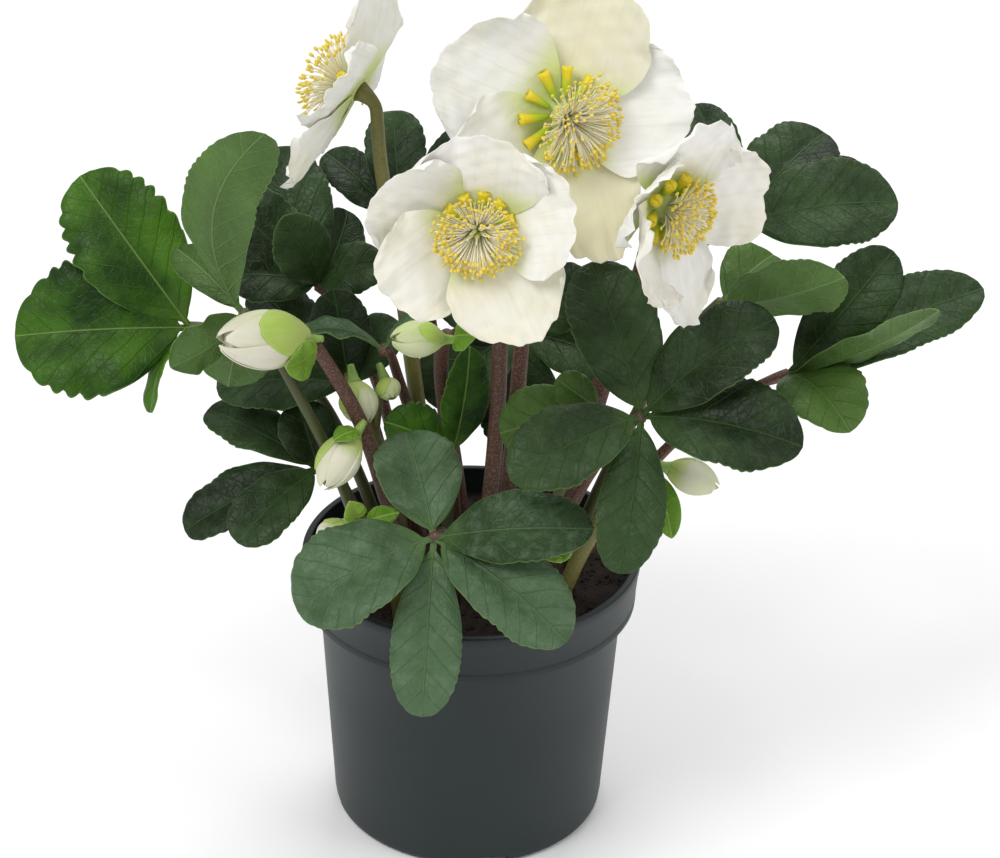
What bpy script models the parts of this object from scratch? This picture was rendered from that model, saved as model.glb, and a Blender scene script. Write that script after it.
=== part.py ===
# Christmas rose (hellebore) in flower, growing in a round nursery pot.
# Metres, +Z up, origin at the middle of the pot's underside, viewed from -Y.
# The tables below are in millimetres and every blade, petal and stem is built from them.

import math

import bmesh
import bpy
import numpy as np

MM = 0.001

# Pot
POT_HEIGHT = 112.0
POT_RIM_RADIUS = 65.0
POT_BAND_FOOT_RADIUS = 63.4
POT_NECK_RADIUS = 58.4
POT_BASE_RADIUS = 52.6
POT_BAND_HEIGHT = 20.0
POT_WALL = 1.5
POT_LIP_WIDTH = 2.8
POT_FLOOR_LEVEL = 5.0
POT_FLOOR_THICKNESS = 1.8
POT_FOOT_RING_WIDTH = 6.0
POT_CENTRE_FOOT_RADIUS = 16.0
POT_SIDES = 32
NOTCH_COUNT = 4
NOTCH_WIDTH = 21.0
NOTCH_HEIGHT = 4.0
NOTCH_TURN = 7.0
DRAIN_COUNT = 4
DRAIN_RADIUS = 4.0
DRAIN_CIRCLE = 30.0

# Soil
SOIL_LEVEL = 101.0
SOIL_LUMP = 1.2
SOIL_DOME = 2.0
SOIL_RINGS = (0.0, 0.5, 1.0)
FIT_GAP = 0.35
HOLE_DEPTH = 16.0
HOLE_SIDES = 5

# Boolean clean-up: faces that meet within this angle are one
FLAT_ANGLE = math.radians(0.4)

# Blades and petals
LEAF_THICKNESS = 0.8
RIB_HEIGHT = 0.5
LEAF_STATIONS = 6
LEAFLET_STALK = 0.10
PETAL_THICKNESS = 0.75
PETAL_STATIONS = 4
PETAL_COLUMNS = 4
PETAL_PINWHEEL = 0.15
SEPAL_ROOT_RADIUS = 3.2
SEPAL_ROOT_SHARE = 0.11
STALK_SIDES = 5
PETIOLE_RADIUS = 2.0
HUB_RADIUS = 2.6

# Each leaf grows from a hole in the soil (crown) to a hub, from which its leaflets reach.
# A leaflet is (reach from the hub, width, arch, direction its upper side faces, widest point).
LEAVES = {
    "leaf_front_low": {
        "crown": (-6, -25), "hub": (-13, -62, 153), "steer": (-8, -46, 156),
        "leaflets": [
            ((-12, 40, 21), 32, 5, (0.1, -0.7, 1.0), 0.60),
            ((57, -10, 11), 29, 4, (0.0, -0.7, 1.0), 0.60),
            ((48, -30, -24), 33, 6, (0.4, -0.8, 1.0), 0.62),
            ((-3, -33, -55), 26, 5, (0.0, -1.0, 0.6), 0.62),
            ((-48, -18, -21), 37, 7, (-0.3, -0.8, 1.0), 0.62),
        ],
    },
    "leaf_right_centre": {
        "crown": (27, -22), "hub": (60, -50, 198), "steer": (42, -30, 175),
        "leaflets": [
            ((-19, 30, 46), 33, 5, (0.1, -0.8, 0.8), 0.60),
            ((46, 8, 36), 31, 6, (-0.3, -0.7, 1.0), 0.64),
            ((56, -20, 0), 35, 6, (0.2, -0.7, 1.0), 0.60),
            ((-7, -32, -46), 25, 5, (0.2, -1.0, 0.6), 0.62),
            ((-46, -25, -13), 31, 5, (-0.2, -0.7, 1.0), 0.60),
        ],
    },
    "leaf_far_left": {
        "crown": (-34, 12), "hub": (-106, 8, 200), "steer": (-60, 18, 200),
        "leaflets": [
            ((-42, 24, 50), 42, 5, (-0.2, -0.8, 0.8), 0.60),
            ((-66, -2, 2), 50, 5, (-0.1, -0.8, 0.9), 0.56),
            ((-12, -30, -20), 15, 4, (-0.9, -0.2, 0.6), 0.60),
            ((-34, 42, 10), 28, 4, (0.0, -0.4, 1.0), 0.62),
        ],
    },
    "leaf_left_pale": {
        "crown": (-33, -25), "hub": (-83, -28, 225), "steer": (-62, -30, 205),
        "leaflets": [
            ((14, -8, 72), 33, -6, (0.5, 0.9, 0.2), 0.62),
            ((-25, -16, -14), 27, -3, (0.5, 0.9, 0.6), 0.55),
            ((-6, 2, -31), 26, -3, (0.1, 1.0, 0.2), 0.58),
            ((-26, 26, 12), 16, 3, (0.2, -0.8, 0.8), 0.60),
        ],
    },
    "leaf_left_low": {
        "crown": (-37, -9), "hub": (-58, -10, 151), "steer": (-44, -10, 150),
        "leaflets": [
            ((-43, 20, 13), 22, 4, (0.0, -0.4, 1.0), 0.62),
            ((-49, -14, -20), 25, 5, (-0.3, -0.6, 1.0), 0.62),
            ((-28, -30, -15), 24, 4, (-0.1, -0.7, 1.0), 0.62),
            ((-8, 8, 24), 22, 3, (0.2, -0.9, 0.6), 0.60),
        ],
    },
    "leaf_left_mid": {
        "crown": (-26, 6), "hub": (-47, 8, 177), "steer": (-36, 10, 165),
        "leaflets": [
            ((-49, -10, 3), 27, 5, (0.0, -0.6, 1.0), 0.60),
            ((-38, 32, 24), 24, 5, (0.0, -0.6, 1.0), 0.62),
            ((16, 14, 22), 20, 4, (0.0, -0.7, 0.8), 0.60),
            ((-6, 5, 38), 22, 4, (0.1, -0.9, 0.4), 0.60),
        ],
    },
    "leaf_back_left": {
        "crown": (-22, 22), "hub": (-60, 34, 206), "steer": (-40, 30, 190),
        "leaflets": [
            ((-22, 34, 40), 30, 5, (-0.1, -0.6, 1.0), 0.62),
            ((-36, 10, 30), 26, 4, (-0.2, -0.8, 0.9), 0.60),
            ((-12, -12, 34), 19, 3, (0.3, -1.0, 0.5), 0.58),
            ((10, 20, 22), 20, 4, (0.6, -0.4, 0.8), 0.60),
            ((26, -6, 12), 20, 4, (0.2, -0.7, 0.9), 0.60),
            ((-34, -10, 8), 24, 4, (-0.2, -0.7, 0.9), 0.60),
        ],
    },
    "leaf_back_centre": {
        "crown": (12, 42), "hub": (16, 54, 178), "steer": (12, 58, 150),
        "leaflets": [
            ((-31, -14, 20), 24, 4, (0.0, -0.8, 0.9), 0.60),
            ((28, -4, 26), 26, 4, (0.1, -0.8, 0.9), 0.60),
            ((44, -8, -12), 28, 5, (0.2, -0.8, 0.9), 0.58),
            ((10, -14, -46), 26, 4, (0.1, -0.9, 0.6), 0.60),
            ((-34, -26, -18), 26, 5, (-0.2, -0.8, 0.8), 0.60),
        ],
    },
    "leaf_back_mid": {
        "crown": (-4, 32), "hub": (-30, 58, 222), "steer": (-16, 48, 200),
        "leaflets": [
            ((-4, 28, 34), 24, 4, (0.0, -0.8, 0.9), 0.62),
            ((24, 16, 34), 13, 3, (0.4, -0.7, 0.8), 0.60),
            ((24, 0, 27), 11, 3, (0.4, -0.7, 0.8), 0.60),
            ((-30, 22, 18), 20, 4, (-0.2, -0.5, 1.0), 0.60),
        ],
    },
    "leaf_back_right": {
        "crown": (22, 26), "hub": (98, 42, 232), "steer": (60, 36, 215),
        "leaflets": [
            ((-16, 38, 32), 22, 4, (0.1, -0.7, 0.9), 0.60),
            ((34, 36, 22), 33, 5, (-0.1, -0.7, 1.0), 0.58),
            ((60, 4, 8), 37, 6, (0.0, -0.8, 0.9), 0.55),
            ((50, 50, 4), 18, 3, (0.0, -0.7, 1.0), 0.60),
        ],
    },
    "leaf_right_pale": {
        "crown": (38, 4), "hub": (89, -14, 226), "steer": (66, -4, 205),
        "leaflets": [
            ((40, -28, 25), 30, -3, (0.1, 1.0, 0.35), 0.58),
            ((40, 18, -2), 22, 3, (0.1, -0.7, 1.0), 0.60),
            ((20, 24, 8), 24, 3, (0.0, -0.6, 1.0), 0.60),
        ],
    },
    "leaf_right_low": {
        "crown": (36, -14), "hub": (116, -4, 192), "steer": (74, -10, 182),
        "leaflets": [
            ((38, 16, 36), 26, 4, (0.3, -0.8, 0.8), 0.60),
            ((70, 6, 34), 31, 5, (0.0, -0.6, 1.0), 0.58),
            ((48, -32, 44), 19, -3, (-0.3, 1.0, 0.5), 0.58),
            ((20, -36, -4), 31, 6, (0.2, -0.7, 1.0), 0.55),
        ],
    },
    "leaf_centre": {
        "crown": (-8, -8), "hub": (-8, -7, 157), "steer": (-9, -6, 140),
        "leaflets": [
            ((-25, -9, 18), 23, 4, (0.0, -0.8, 0.9), 0.58),
            ((6, 5, 43), 14, 3, (0.6, -0.8, 0.2), 0.55),
        ],
    },
    "leaf_centre_right": {
        "crown": (13, -31), "hub": (46, -30, 190), "steer": (34, -34, 166),
        "leaflets": [
            ((-36, -2, -10), 27, 4, (-0.1, -0.9, 0.7), 0.58),
            ((-16, 4, 10), 14, 2, (-0.3, -0.8, 0.6), 0.60),
        ],
    },
    "leaf_left_high": {
        "crown": (-13, 3), "hub": (-33, -16, 205), "steer": (-28, 17, 190),
        "leaflets": [
            ((-34, -4, 6), 22, 5, (0.0, 0.2, 1.0), 0.58),
            ((20, 3, 16), 14, 3, (0.0, 0.1, 1.0), 0.58),
        ],
    },
    "leaf_young": {
        "crown": (18, -34), "hub": (36, -52, 146), "steer": (26, -46, 140),
        "leaflets": [
            ((-6, -6, 17), 10, 2, (0.3, -1.0, 0.4), 0.58),
            ((5, -4, 16), 9, 2, (-0.3, -1.0, 0.4), 0.58),
            ((-10, -14, 3), 11, 2, (0.0, -0.8, 0.6), 0.58),
        ],
    },
}

# Each bloom stands on its stem; sepals are
# (turn round the bloom's axis from its top, opening from the axis, length, width, cupping).
BLOOMS = {
    "bloom_high": {
        "crown": (12, -8), "centre": (29, -4, 294), "axis": (0.28, -0.90, 0.34),
        "steer": (18, 22, 250), "stamen_spread": 66.0, "stamen_length": 20.0,
        "sepals": [
            (62, 84, 46, 50, 5), (-20, 88, 46, 46, 4), (-90, 84, 44, 44, 5),
            (-170, 80, 51, 38, 6), (118, 80, 44, 42, 6),
        ],
    },
    "bloom_front": {
        "crown": (3, -20), "centre": (1, -66, 279), "axis": (0.0, -0.97, 0.22),
        "steer": (18, 4, 262), "stamen_spread": 62.0, "stamen_length": 17.0,
        "sepals": [
            (0, 68, 33, 46, 6), (75, 74, 37, 36, 6), (126, 70, 37, 34, 6),
            (-152, 72, 40, 38, 6), (-74, 68, 34, 40, 6),
        ],
    },
    "bloom_right": {
        "crown": (27, -12), "centre": (63, -50, 281), "axis": (0.66, -0.74, -0.02),
        "steer": (72, 14, 262), "stamen_spread": 54.0, "stamen_length": 17.0,
        "sepals": [
            (-10, 64, 36, 38, 6), (-80, 62, 36, 36, 6), (60, 62, 34, 34, 7),
            (118, 62, 36, 34, 6), (178, 64, 40, 34, 6),
        ],
    },
    "bloom_left": {
        "crown": (-12, 14), "centre": (-45, 6, 298), "axis": (-0.80, 0.36, 0.36),
        "steer": (-36, 10, 262), "stamen_spread": 56.0, "stamen_length": 19.0,
        "sepals": [
            (5, 80, 43, 30, 4), (-62, 76, 34, 34, 5), (80, 76, 31, 34, 5),
            (146, 72, 46, 34, 5), (-140, 78, 36, 34, 5),
        ],
    },
}

# Each bud stem carries buds: (foot, tip, width); and bracts: (foot, tip, width, facing).
BUD_STEMS = {
    "bud_stem_left": {
        "crown": (-22, -20), "end": (-57, -36, 217), "steer": (-36, -22, 176),
        "buds": {"bud_left": ((-60, -38, 220), (-89, -56, 228), 21),
                 "bud_left_low": ((-43, -33, 178), (-54, -46, 164), 15)},
        "bracts": [((-56, -37, 216), (-66, -54, 217), 15, (0.4, -1.0, 0.0)),
                   ((-41, -33, 180), (-50, -42, 181), 8, (-0.2, -0.6, 1.0))],
        "side": ((-38, -25, 175), (-42, -31, 179)),
    },
    "bud_stem_inner": {
        "crown": (-23, -5), "end": (-46, -6, 190), "steer": (-38, -6, 168),
        "buds": {"bud_inner": ((-44, -12, 189), (-40, -22, 177), 14),
                 "bud_inner_small": ((-33, -7, 188), (-30, -14, 184), 9)},
        "bracts": [],
        "side": ((-37, -6, 161), (-34, -5, 190)),
    },
    "bud_stem_middle": {
        "crown": (-6, 12), "end": (-9, -27, 216), "steer": (-16, 10, 208),
        "buds": {"bud_middle": ((-12, -30, 217), (-29, -40, 222), 13)},
        "bracts": [((-7, -28, 217), (1, -44, 226), 12, (0.3, -1.0, 0.6))],
        "side": None,
    },
    "bud_stem_low": {
        "crown": (-26, -36), "end": (-42, -42, 150), "steer": (-32, -40, 138),
        "buds": {"bud_low": ((-45, -43, 147), (-54, -48, 137), 15)},
        "bracts": [((-42, -43, 149), (-44, -49, 160), 9, (0.3, -1.0, 0.3)),
                   ((-39, -41, 147), (-26, -46, 154), 8, (0.0, -0.8, 0.6))],
        "side": None,
    },
    "bud_stem_right": {
        "crown": (33, -30), "end": (67, -30, 168), "steer": (54, -30, 166),
        "buds": {"bud_right": ((72, -32, 167), (90, -36, 162), 13)},
        "bracts": [((68, -32, 166), (74, -40, 142), 11, (0.0, -1.0, 0.3))],
        "side": None,
    },
}

COLOURS = {
    "pot": ((0.045, 0.058, 0.062), 0.42),
    "soil": ((0.022, 0.013, 0.008), 0.95),
    "leaf": ((0.035, 0.095, 0.042), 0.55),
    "leaf_bright": ((0.070, 0.190, 0.024), 0.55),
    "stem": ((0.150, 0.070, 0.045), 0.60),
    "sepal": ((0.850, 0.840, 0.780), 0.50),
    "nectary": ((0.480, 0.600, 0.060), 0.50),
    "stamen": ((0.850, 0.640, 0.130), 0.60),
    "pistil": ((0.700, 0.780, 0.350), 0.55),
    "bud": ((0.820, 0.800, 0.690), 0.50),
}
BRIGHT_LEAVES = ("leaf_far_left", "leaf_left_pale", "leaf_right_pale", "leaf_young")


def clear_scene():
    for old in list(bpy.data.objects):
        bpy.data.objects.remove(old, do_unlink=True)


def material(name):
    colour, roughness = COLOURS[name]
    found = bpy.data.materials.get(name)
    if found:
        return found
    made = bpy.data.materials.new(name)
    made.use_nodes = True
    shader = made.node_tree.nodes["Principled BSDF"]
    shader.inputs["Base Color"].default_value = (*colour, 1.0)
    shader.inputs["Roughness"].default_value = roughness
    shader.inputs["Metallic"].default_value = 0.0
    return made


def unit(vector):
    vector = np.asarray(vector, float)
    return vector / np.linalg.norm(vector)


def across(vector, axis):
    """The part of a vector at right angles to an axis, as a unit vector."""
    vector = np.asarray(vector, float)
    return unit(vector - axis * float(np.dot(vector, axis)))


def solid(name, points, faces, slot):
    """One closed mesh object from points in millimetres, faces turned outward."""
    mesh = bpy.data.meshes.new(name)
    mesh.from_pydata([tuple(np.asarray(p, float) * MM) for p in points], [], faces)
    work = bmesh.new()
    work.from_mesh(mesh)
    bmesh.ops.recalc_face_normals(work, faces=work.faces)
    bmesh.ops.triangulate(work, faces=[f for f in work.faces if len(f.verts) > 4])
    work.to_mesh(mesh)
    work.free()
    made = bpy.data.objects.new(name, mesh)
    made.data.materials.append(material(slot))
    bpy.context.scene.collection.objects.link(made)
    return made


def tallness(body):
    heights = [vert.co.z for vert in body]
    return max(heights) - min(heights)


def main_body(mesh):
    """Weld, drop doubled faces and loose scraps, and keep the tallest connected body."""
    work = bmesh.new()
    work.from_mesh(mesh)
    bmesh.ops.remove_doubles(work, verts=work.verts, dist=0.004 * MM)
    bmesh.ops.dissolve_degenerate(work, edges=work.edges, dist=0.003 * MM)
    bmesh.ops.dissolve_limit(work, angle_limit=FLAT_ANGLE, verts=work.verts, edges=work.edges)
    bmesh.ops.triangulate(work, faces=work.faces)
    corners = [frozenset(face.verts) for face in work.faces]
    doubled = [face for face, key in zip(work.faces, corners) if corners.count(key) > 1]
    bmesh.ops.delete(work, geom=doubled, context="FACES")
    unseen = set(work.verts)
    bodies = []
    while unseen:
        edge_of_body = [unseen.pop()]
        body = set(edge_of_body)
        while edge_of_body:
            vert = edge_of_body.pop()
            for edge in vert.link_edges:
                other = edge.other_vert(vert)
                if other in unseen:
                    unseen.discard(other)
                    body.add(other)
                    edge_of_body.append(other)
        bodies.append(body)
    bodies.sort(key=tallness, reverse=True)
    scraps = [vert for body in bodies[1:] for vert in body]
    bmesh.ops.delete(work, geom=scraps, context="VERTS")
    work.to_mesh(mesh)
    work.free()


def combine(target, others, operation, solver="EXACT"):
    """Apply one Boolean between an object and a collection, then remove the collection."""
    group = bpy.data.collections.new("group")
    for other in others:
        group.objects.link(other)
    step = target.modifiers.new("combine", "BOOLEAN")
    step.operation = operation
    step.operand_type = "COLLECTION"
    step.collection = group
    step.solver = solver
    depsgraph = bpy.context.evaluated_depsgraph_get()
    mesh = bpy.data.meshes.new_from_object(target.evaluated_get(depsgraph))
    target.modifiers.clear()
    target.data = mesh
    for other in others:
        bpy.data.objects.remove(other, do_unlink=True)
    bpy.data.collections.remove(group)
    main_body(mesh)
    return target


def fused(name, pieces, solver="EXACT"):
    first = pieces[0]
    first.name = name
    return combine(first, pieces[1:], "UNION", solver)


def tube(name, path, radii, sides, slot):
    """A closed tube along a path, with one radius for each point."""
    path = [np.asarray(p, float) for p in path]
    side = across((1.0, 0.13, 0.07), unit(path[1] - path[0]))
    points = []
    for index, centre in enumerate(path):
        before = path[max(index - 1, 0)]
        after = path[min(index + 1, len(path) - 1)]
        along = unit(after - before)
        side = across(side, along)
        lift = np.cross(along, side)
        for turn in range(sides):
            angle = 2.0 * math.pi * turn / sides
            points.append(centre + radii[index] * (side * math.cos(angle) + lift * math.sin(angle)))
    faces = [tuple(range(sides)), tuple(range(len(points) - sides, len(points)))]
    for row in range(len(path) - 1):
        for turn in range(sides):
            near = row * sides + turn
            far = row * sides + (turn + 1) % sides
            faces.append((near, far, far + sides, near + sides))
    return solid(name, points, faces, slot)


def sheet(name, top, bottom, slot):
    """A closed blade from two equal grids of points, both split into triangles alike."""
    rows, columns = len(top), len(top[0])
    points = [p for row in top for p in row] + [p for row in bottom for p in row]
    below = rows * columns
    faces = []
    for row in range(rows - 1):
        for column in range(columns - 1):
            a = row * columns + column
            b, c, d = a + 1, a + columns + 1, a + columns
            halves = ((a, b, c), (a, c, d)) if column * 2 < columns - 1 else ((a, b, d), (b, c, d))
            for half in halves:
                faces.append(half)
                faces.append(tuple(below + i for i in reversed(half)))
    rim = [column for column in range(columns)]
    rim += [row * columns + columns - 1 for row in range(1, rows)]
    rim += [(rows - 1) * columns + column for column in range(columns - 2, -1, -1)]
    rim += [row * columns for row in range(rows - 2, 0, -1)]
    for index, here in enumerate(rim):
        following = rim[(index + 1) % len(rim)]
        faces.append((here, following, below + following))
        faces.append((here, below + following, below + here))
    return solid(name, points, faces, slot)


def bend(start, steer, end, share):
    """A point on the smooth arc from start to end that leans toward the steer point."""
    start, steer, end = (np.asarray(p, float) for p in (start, steer, end))
    return start * (1 - share) ** 2 + steer * 2 * share * (1 - share) + end * share ** 2


def stalk_path(crown, steer, end, steps):
    """Upright through the soil, then one arc to the end."""
    foot = np.array((*crown, SOIL_LEVEL - HOLE_DEPTH + FIT_GAP), float)
    surface = np.array((*crown, SOIL_LEVEL + 5.0), float)
    path = [foot, surface]
    path += [bend(surface, steer, end, (step + 1) / steps) for step in range(steps)]
    return path


def leaflet(name, hub, reach, width, arch, facing, widest, slot):
    """A folded, arched blade with a toothed outer edge, sunk into its hub."""
    hub = np.asarray(hub, float)
    reach = np.asarray(reach, float)
    length = float(np.linalg.norm(reach))
    along = reach / length
    upper = across(facing, along)
    sideways = np.cross(upper, along)
    rise = 0.75
    fall = rise * (1 - widest) / widest
    peak = widest ** rise * (1 - widest) ** fall
    top, bottom = [], []
    for row in range(LEAF_STATIONS + 1):
        share = row / LEAF_STATIONS
        tooth = 1.0 if row < 3 or row % 2 else 0.90
        grown = max(0.0, (share - LEAFLET_STALK) / (1.0 - LEAFLET_STALK))
        spread = grown ** rise * (1 - grown) ** fall / peak
        half = max(0.5 * width * spread * tooth, 1.1 if row < LEAF_STATIONS else 0.7)
        lift = arch * 4 * share * (1 - share)
        centre = hub + along * length * share + upper * lift
        slope = unit(along * length + upper * arch * 4 * (1 - 2 * share))
        normal = across(upper, slope)
        edge_lift = 0.22 * half
        thick = LEAF_THICKNESS / 2
        above, under = [], []
        for turn in (-1, 0, 1):
            point = centre + sideways * half * turn + normal * edge_lift * abs(turn)
            rib = RIB_HEIGHT if turn == 0 else 0.0
            above.append(point + normal * thick)
            under.append(point - normal * (thick + rib))
        top.append(above)
        bottom.append(under)
    return sheet(name, top, bottom, slot)


def make_leaf(name, plan):
    slot = "leaf_bright" if name in BRIGHT_LEAVES else "leaf"
    hub = np.asarray(plan["hub"], float)
    path = stalk_path(plan["crown"], plan["steer"], hub, 4)
    radii = [PETIOLE_RADIUS] * (len(path) - 1) + [HUB_RADIUS]
    past = path[-1] + unit(path[-1] - path[-2]) * 2.5
    pieces = [tube(name, path + [past], radii + [1.4], STALK_SIDES, slot)]
    for number, (reach, width, arch, facing, widest) in enumerate(plan["leaflets"]):
        pieces.append(leaflet(f"{name}_{number}", hub, reach, width, arch, facing, widest, slot))
    return fused(name, pieces)


def bloom_frame(axis):
    """The bloom's axis, its top and its right, as seen looking into the bloom."""
    ahead = unit(axis)
    top = across((0.0, 0.0, 1.0), ahead)
    return ahead, top, np.cross(ahead, top)


def sepal(name, centre, frame, turn, opening, length, width, cup):
    """A broad petal, cupped toward the bloom's axis, with a waved margin."""
    ahead, top, right = frame
    angle = math.radians(turn)
    outward = top * math.cos(angle) + right * math.sin(angle)
    tilt = math.radians(opening)
    along = outward * math.sin(tilt) + ahead * math.cos(tilt)
    inner = ahead * math.sin(tilt) - outward * math.cos(tilt)
    sideways = np.cross(along, inner)
    above, under = [], []
    for row in range(PETAL_STATIONS + 1):
        share = row / PETAL_STATIONS
        outline = max(SEPAL_ROOT_SHARE, math.sin(math.pi * 0.90 * share ** 0.80) ** 0.70)
        half = 0.5 * width * outline
        upper_row, lower_row = [], []
        for column in range(PETAL_COLUMNS + 1):
            offset = 2.0 * column / PETAL_COLUMNS - 1.0
            wave = 1.1 * share * abs(offset) * math.sin(5.0 * share + 3.0 * offset + turn)
            lift = cup * (1.2 * share * (1 - share) * -1.0 + 0.9 * offset * offset * share) + wave
            lift += PETAL_PINWHEEL * half * offset
            shorten = 1.0 - 0.10 * offset * offset * share
            point = (centre + outward * SEPAL_ROOT_RADIUS + along * length * share * shorten
                     + sideways * half * offset + inner * lift)
            upper_row.append(point + inner * PETAL_THICKNESS / 2)
            lower_row.append(point - inner * PETAL_THICKNESS / 2)
        above.append(upper_row)
        under.append(lower_row)
    return sheet(name, above, under, "sepal")


def disc(name, centre, axis, low, high, radius, sides, slot):
    centre = np.asarray(centre, float)
    return tube(name, [centre + axis * low, centre + axis * high], [radius, radius], sides, slot)


SEPAL_DISC = (0.35, 2.0)
NECTARY_DISC = (2.35, 3.6)
STAMEN_DISC = (3.95, 5.1)
PISTIL_FOOT = 5.45
NECTARY_COUNT = 7
STAMEN_COUNT = 12


def make_sepals(name, centre, plan, frame):
    ahead = frame[0]
    pieces = [disc(name, centre, ahead, *SEPAL_DISC, 5.2, 8, "sepal")]
    root = centre + ahead * (SEPAL_DISC[0] + SEPAL_DISC[1]) / 2
    for number, (turn, opening, length, width, cup) in enumerate(plan["sepals"]):
        pieces.append(sepal(f"{name}_{number}", root, frame, turn, opening, length, width, cup))
    return fused(name, pieces)


def make_nectaries(name, centre, plan, frame):
    """Short flared tubes that stand between the sepals and the stamens."""
    ahead, top, right = frame
    lean = math.radians(min(opening for _, opening, *_ in plan["sepals"]) - 16.0)
    pieces = [disc(name, centre, ahead, *NECTARY_DISC, 4.2, 9, "nectary")]
    root = centre + ahead * (NECTARY_DISC[0] + NECTARY_DISC[1]) / 2
    for number in range(NECTARY_COUNT):
        angle = 2.0 * math.pi * (number + 0.5) / NECTARY_COUNT
        outward = top * math.cos(angle) + right * math.sin(angle)
        foot = root + outward * 3.6
        mouth = foot + (outward * math.sin(lean) + ahead * math.cos(lean)) * 6.0
        pieces.append(tube(f"{name}_{number}", [foot, mouth], [0.55, 1.5], 4, "nectary"))
    return fused(name, pieces)


def make_stamens(name, centre, plan, frame):
    """Filaments in three whorls that spread from a small disc, each ending in an anther."""
    ahead, top, right = frame
    pieces = [disc(name, centre, ahead, *STAMEN_DISC, 3.4, 8, "stamen")]
    root = centre + ahead * (STAMEN_DISC[0] + 0.4)
    for number in range(STAMEN_COUNT):
        angle = number * math.radians(137.5)
        outward = top * math.cos(angle) + right * math.sin(angle)
        whorl = number % 3
        lean = math.radians(plan["stamen_spread"] - 11.0 * whorl)
        length = plan["stamen_length"] * (1.0 - 0.06 * whorl)
        foot = root + outward * 2.7
        along = outward * math.sin(lean) + ahead * math.cos(lean)
        rise = outward * math.sin(lean * 0.55) + ahead * math.cos(lean * 0.55)
        middle = foot + rise * length * 0.45
        anther = middle + along * length * 0.50
        path = [foot, middle, anther, anther + along * 1.6]
        pieces.append(tube(f"{name}_{number}", path, [0.45, 0.4, 1.05, 0.4], 3, "stamen"))
    return fused(name, pieces)


def make_pistil(name, centre, frame):
    """A bundle of five carpels that narrow into curved styles."""
    ahead, top, right = frame
    foot = centre + ahead * PISTIL_FOOT
    body = [foot, foot + ahead * 3.0, foot + ahead * 5.5]
    pieces = [tube(name, body, [1.4, 1.7, 1.0], 7, "pistil")]
    for number in range(5):
        angle = 2.0 * math.pi * number / 5
        outward = top * math.cos(angle) + right * math.sin(angle)
        path = [foot + ahead * 4.0 + outward * 0.5, foot + ahead * 10.0 + outward * 2.6]
        pieces.append(tube(f"{name}_{number}", path, [0.7, 0.4], 3, "pistil"))
    return fused(name, pieces)


def make_bloom(name, plan):
    centre = np.asarray(plan["centre"], float)
    frame = bloom_frame(plan["axis"])
    ahead = frame[0]
    neck = centre - ahead * 7.0
    path = stalk_path(plan["crown"], plan["steer"], neck, 7)
    radii = [2.4] * 3 + [2.2] * (len(path) - 5) + [1.9, 1.9]
    tube(f"{name}_stem", path + [centre - ahead * 2.0, centre], radii + [2.8, 3.6], 6, "stem")
    make_sepals(f"{name}_sepals", centre, plan, frame)
    make_nectaries(f"{name}_nectaries", centre, plan, frame)
    make_stamens(f"{name}_stamens", centre, plan, frame)
    make_pistil(f"{name}_pistil", centre, frame)


def make_bud(name, foot, tip, width):
    """A closed bud: an egg of overlapping sepals, drawn as a five-ridged body."""
    foot, tip = np.asarray(foot, float), np.asarray(tip, float)
    along = unit(tip - foot)
    length = float(np.linalg.norm(tip - foot))
    side = across((0.2, 0.1, 1.0), along)
    lift = np.cross(along, side)
    sides, rows = 10, 5
    points = []
    for row in range(rows + 1):
        share = row / rows
        radius = 0.5 * width * math.sin(math.pi * (0.13 + 0.80 * share)) ** 0.8
        for turn in range(sides):
            angle = 2.0 * math.pi * turn / sides
            ridge = 1.0 + (0.06 if turn % 2 else -0.06) * math.sin(math.pi * share)
            spoke = side * math.cos(angle) + lift * math.sin(angle)
            points.append(foot + along * (FIT_GAP + length * share) + spoke * radius * ridge)
    faces = [tuple(range(sides)), tuple(range(rows * sides, (rows + 1) * sides))]
    for row in range(rows):
        for turn in range(sides):
            a, b = row * sides + turn, row * sides + (turn + 1) % sides
            faces.append((a, b, b + sides, a + sides))
    return solid(name, points, faces, "bud")


def make_bud_stem(name, plan):
    """The stem, its side stalk, a cup under each bud and its bracts, fused in one body."""
    path = stalk_path(plan["crown"], plan["steer"], plan["end"], 5)
    pieces = [tube(name, path, [2.1] * len(path), 6, "stem")]
    if plan["side"]:
        pieces.append(tube(f"{name}_side", plan["side"], [1.7, 1.5], 5, "stem"))
    for number, (foot, tip, width) in enumerate(plan["buds"].values()):
        foot, tip = np.asarray(foot, float), np.asarray(tip, float)
        along = unit(tip - foot)
        cup = [foot - along * 7.0, foot - along * 2.0, foot]
        pieces.append(tube(f"{name}_cup_{number}", cup, [1.3, 2.0, 0.16 * width + 0.8], 5, "stem"))
    for number, (foot, tip, width, facing) in enumerate(plan["bracts"]):
        reach = np.asarray(tip, float) - np.asarray(foot, float)
        pieces.append(leaflet(f"{name}_bract_{number}", foot, reach, width, 1.5, facing, 0.5, "stem"))
    fused(name, pieces)
    for bud_name, (foot, tip, width) in plan["buds"].items():
        make_bud(bud_name, foot, tip, width)


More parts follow.
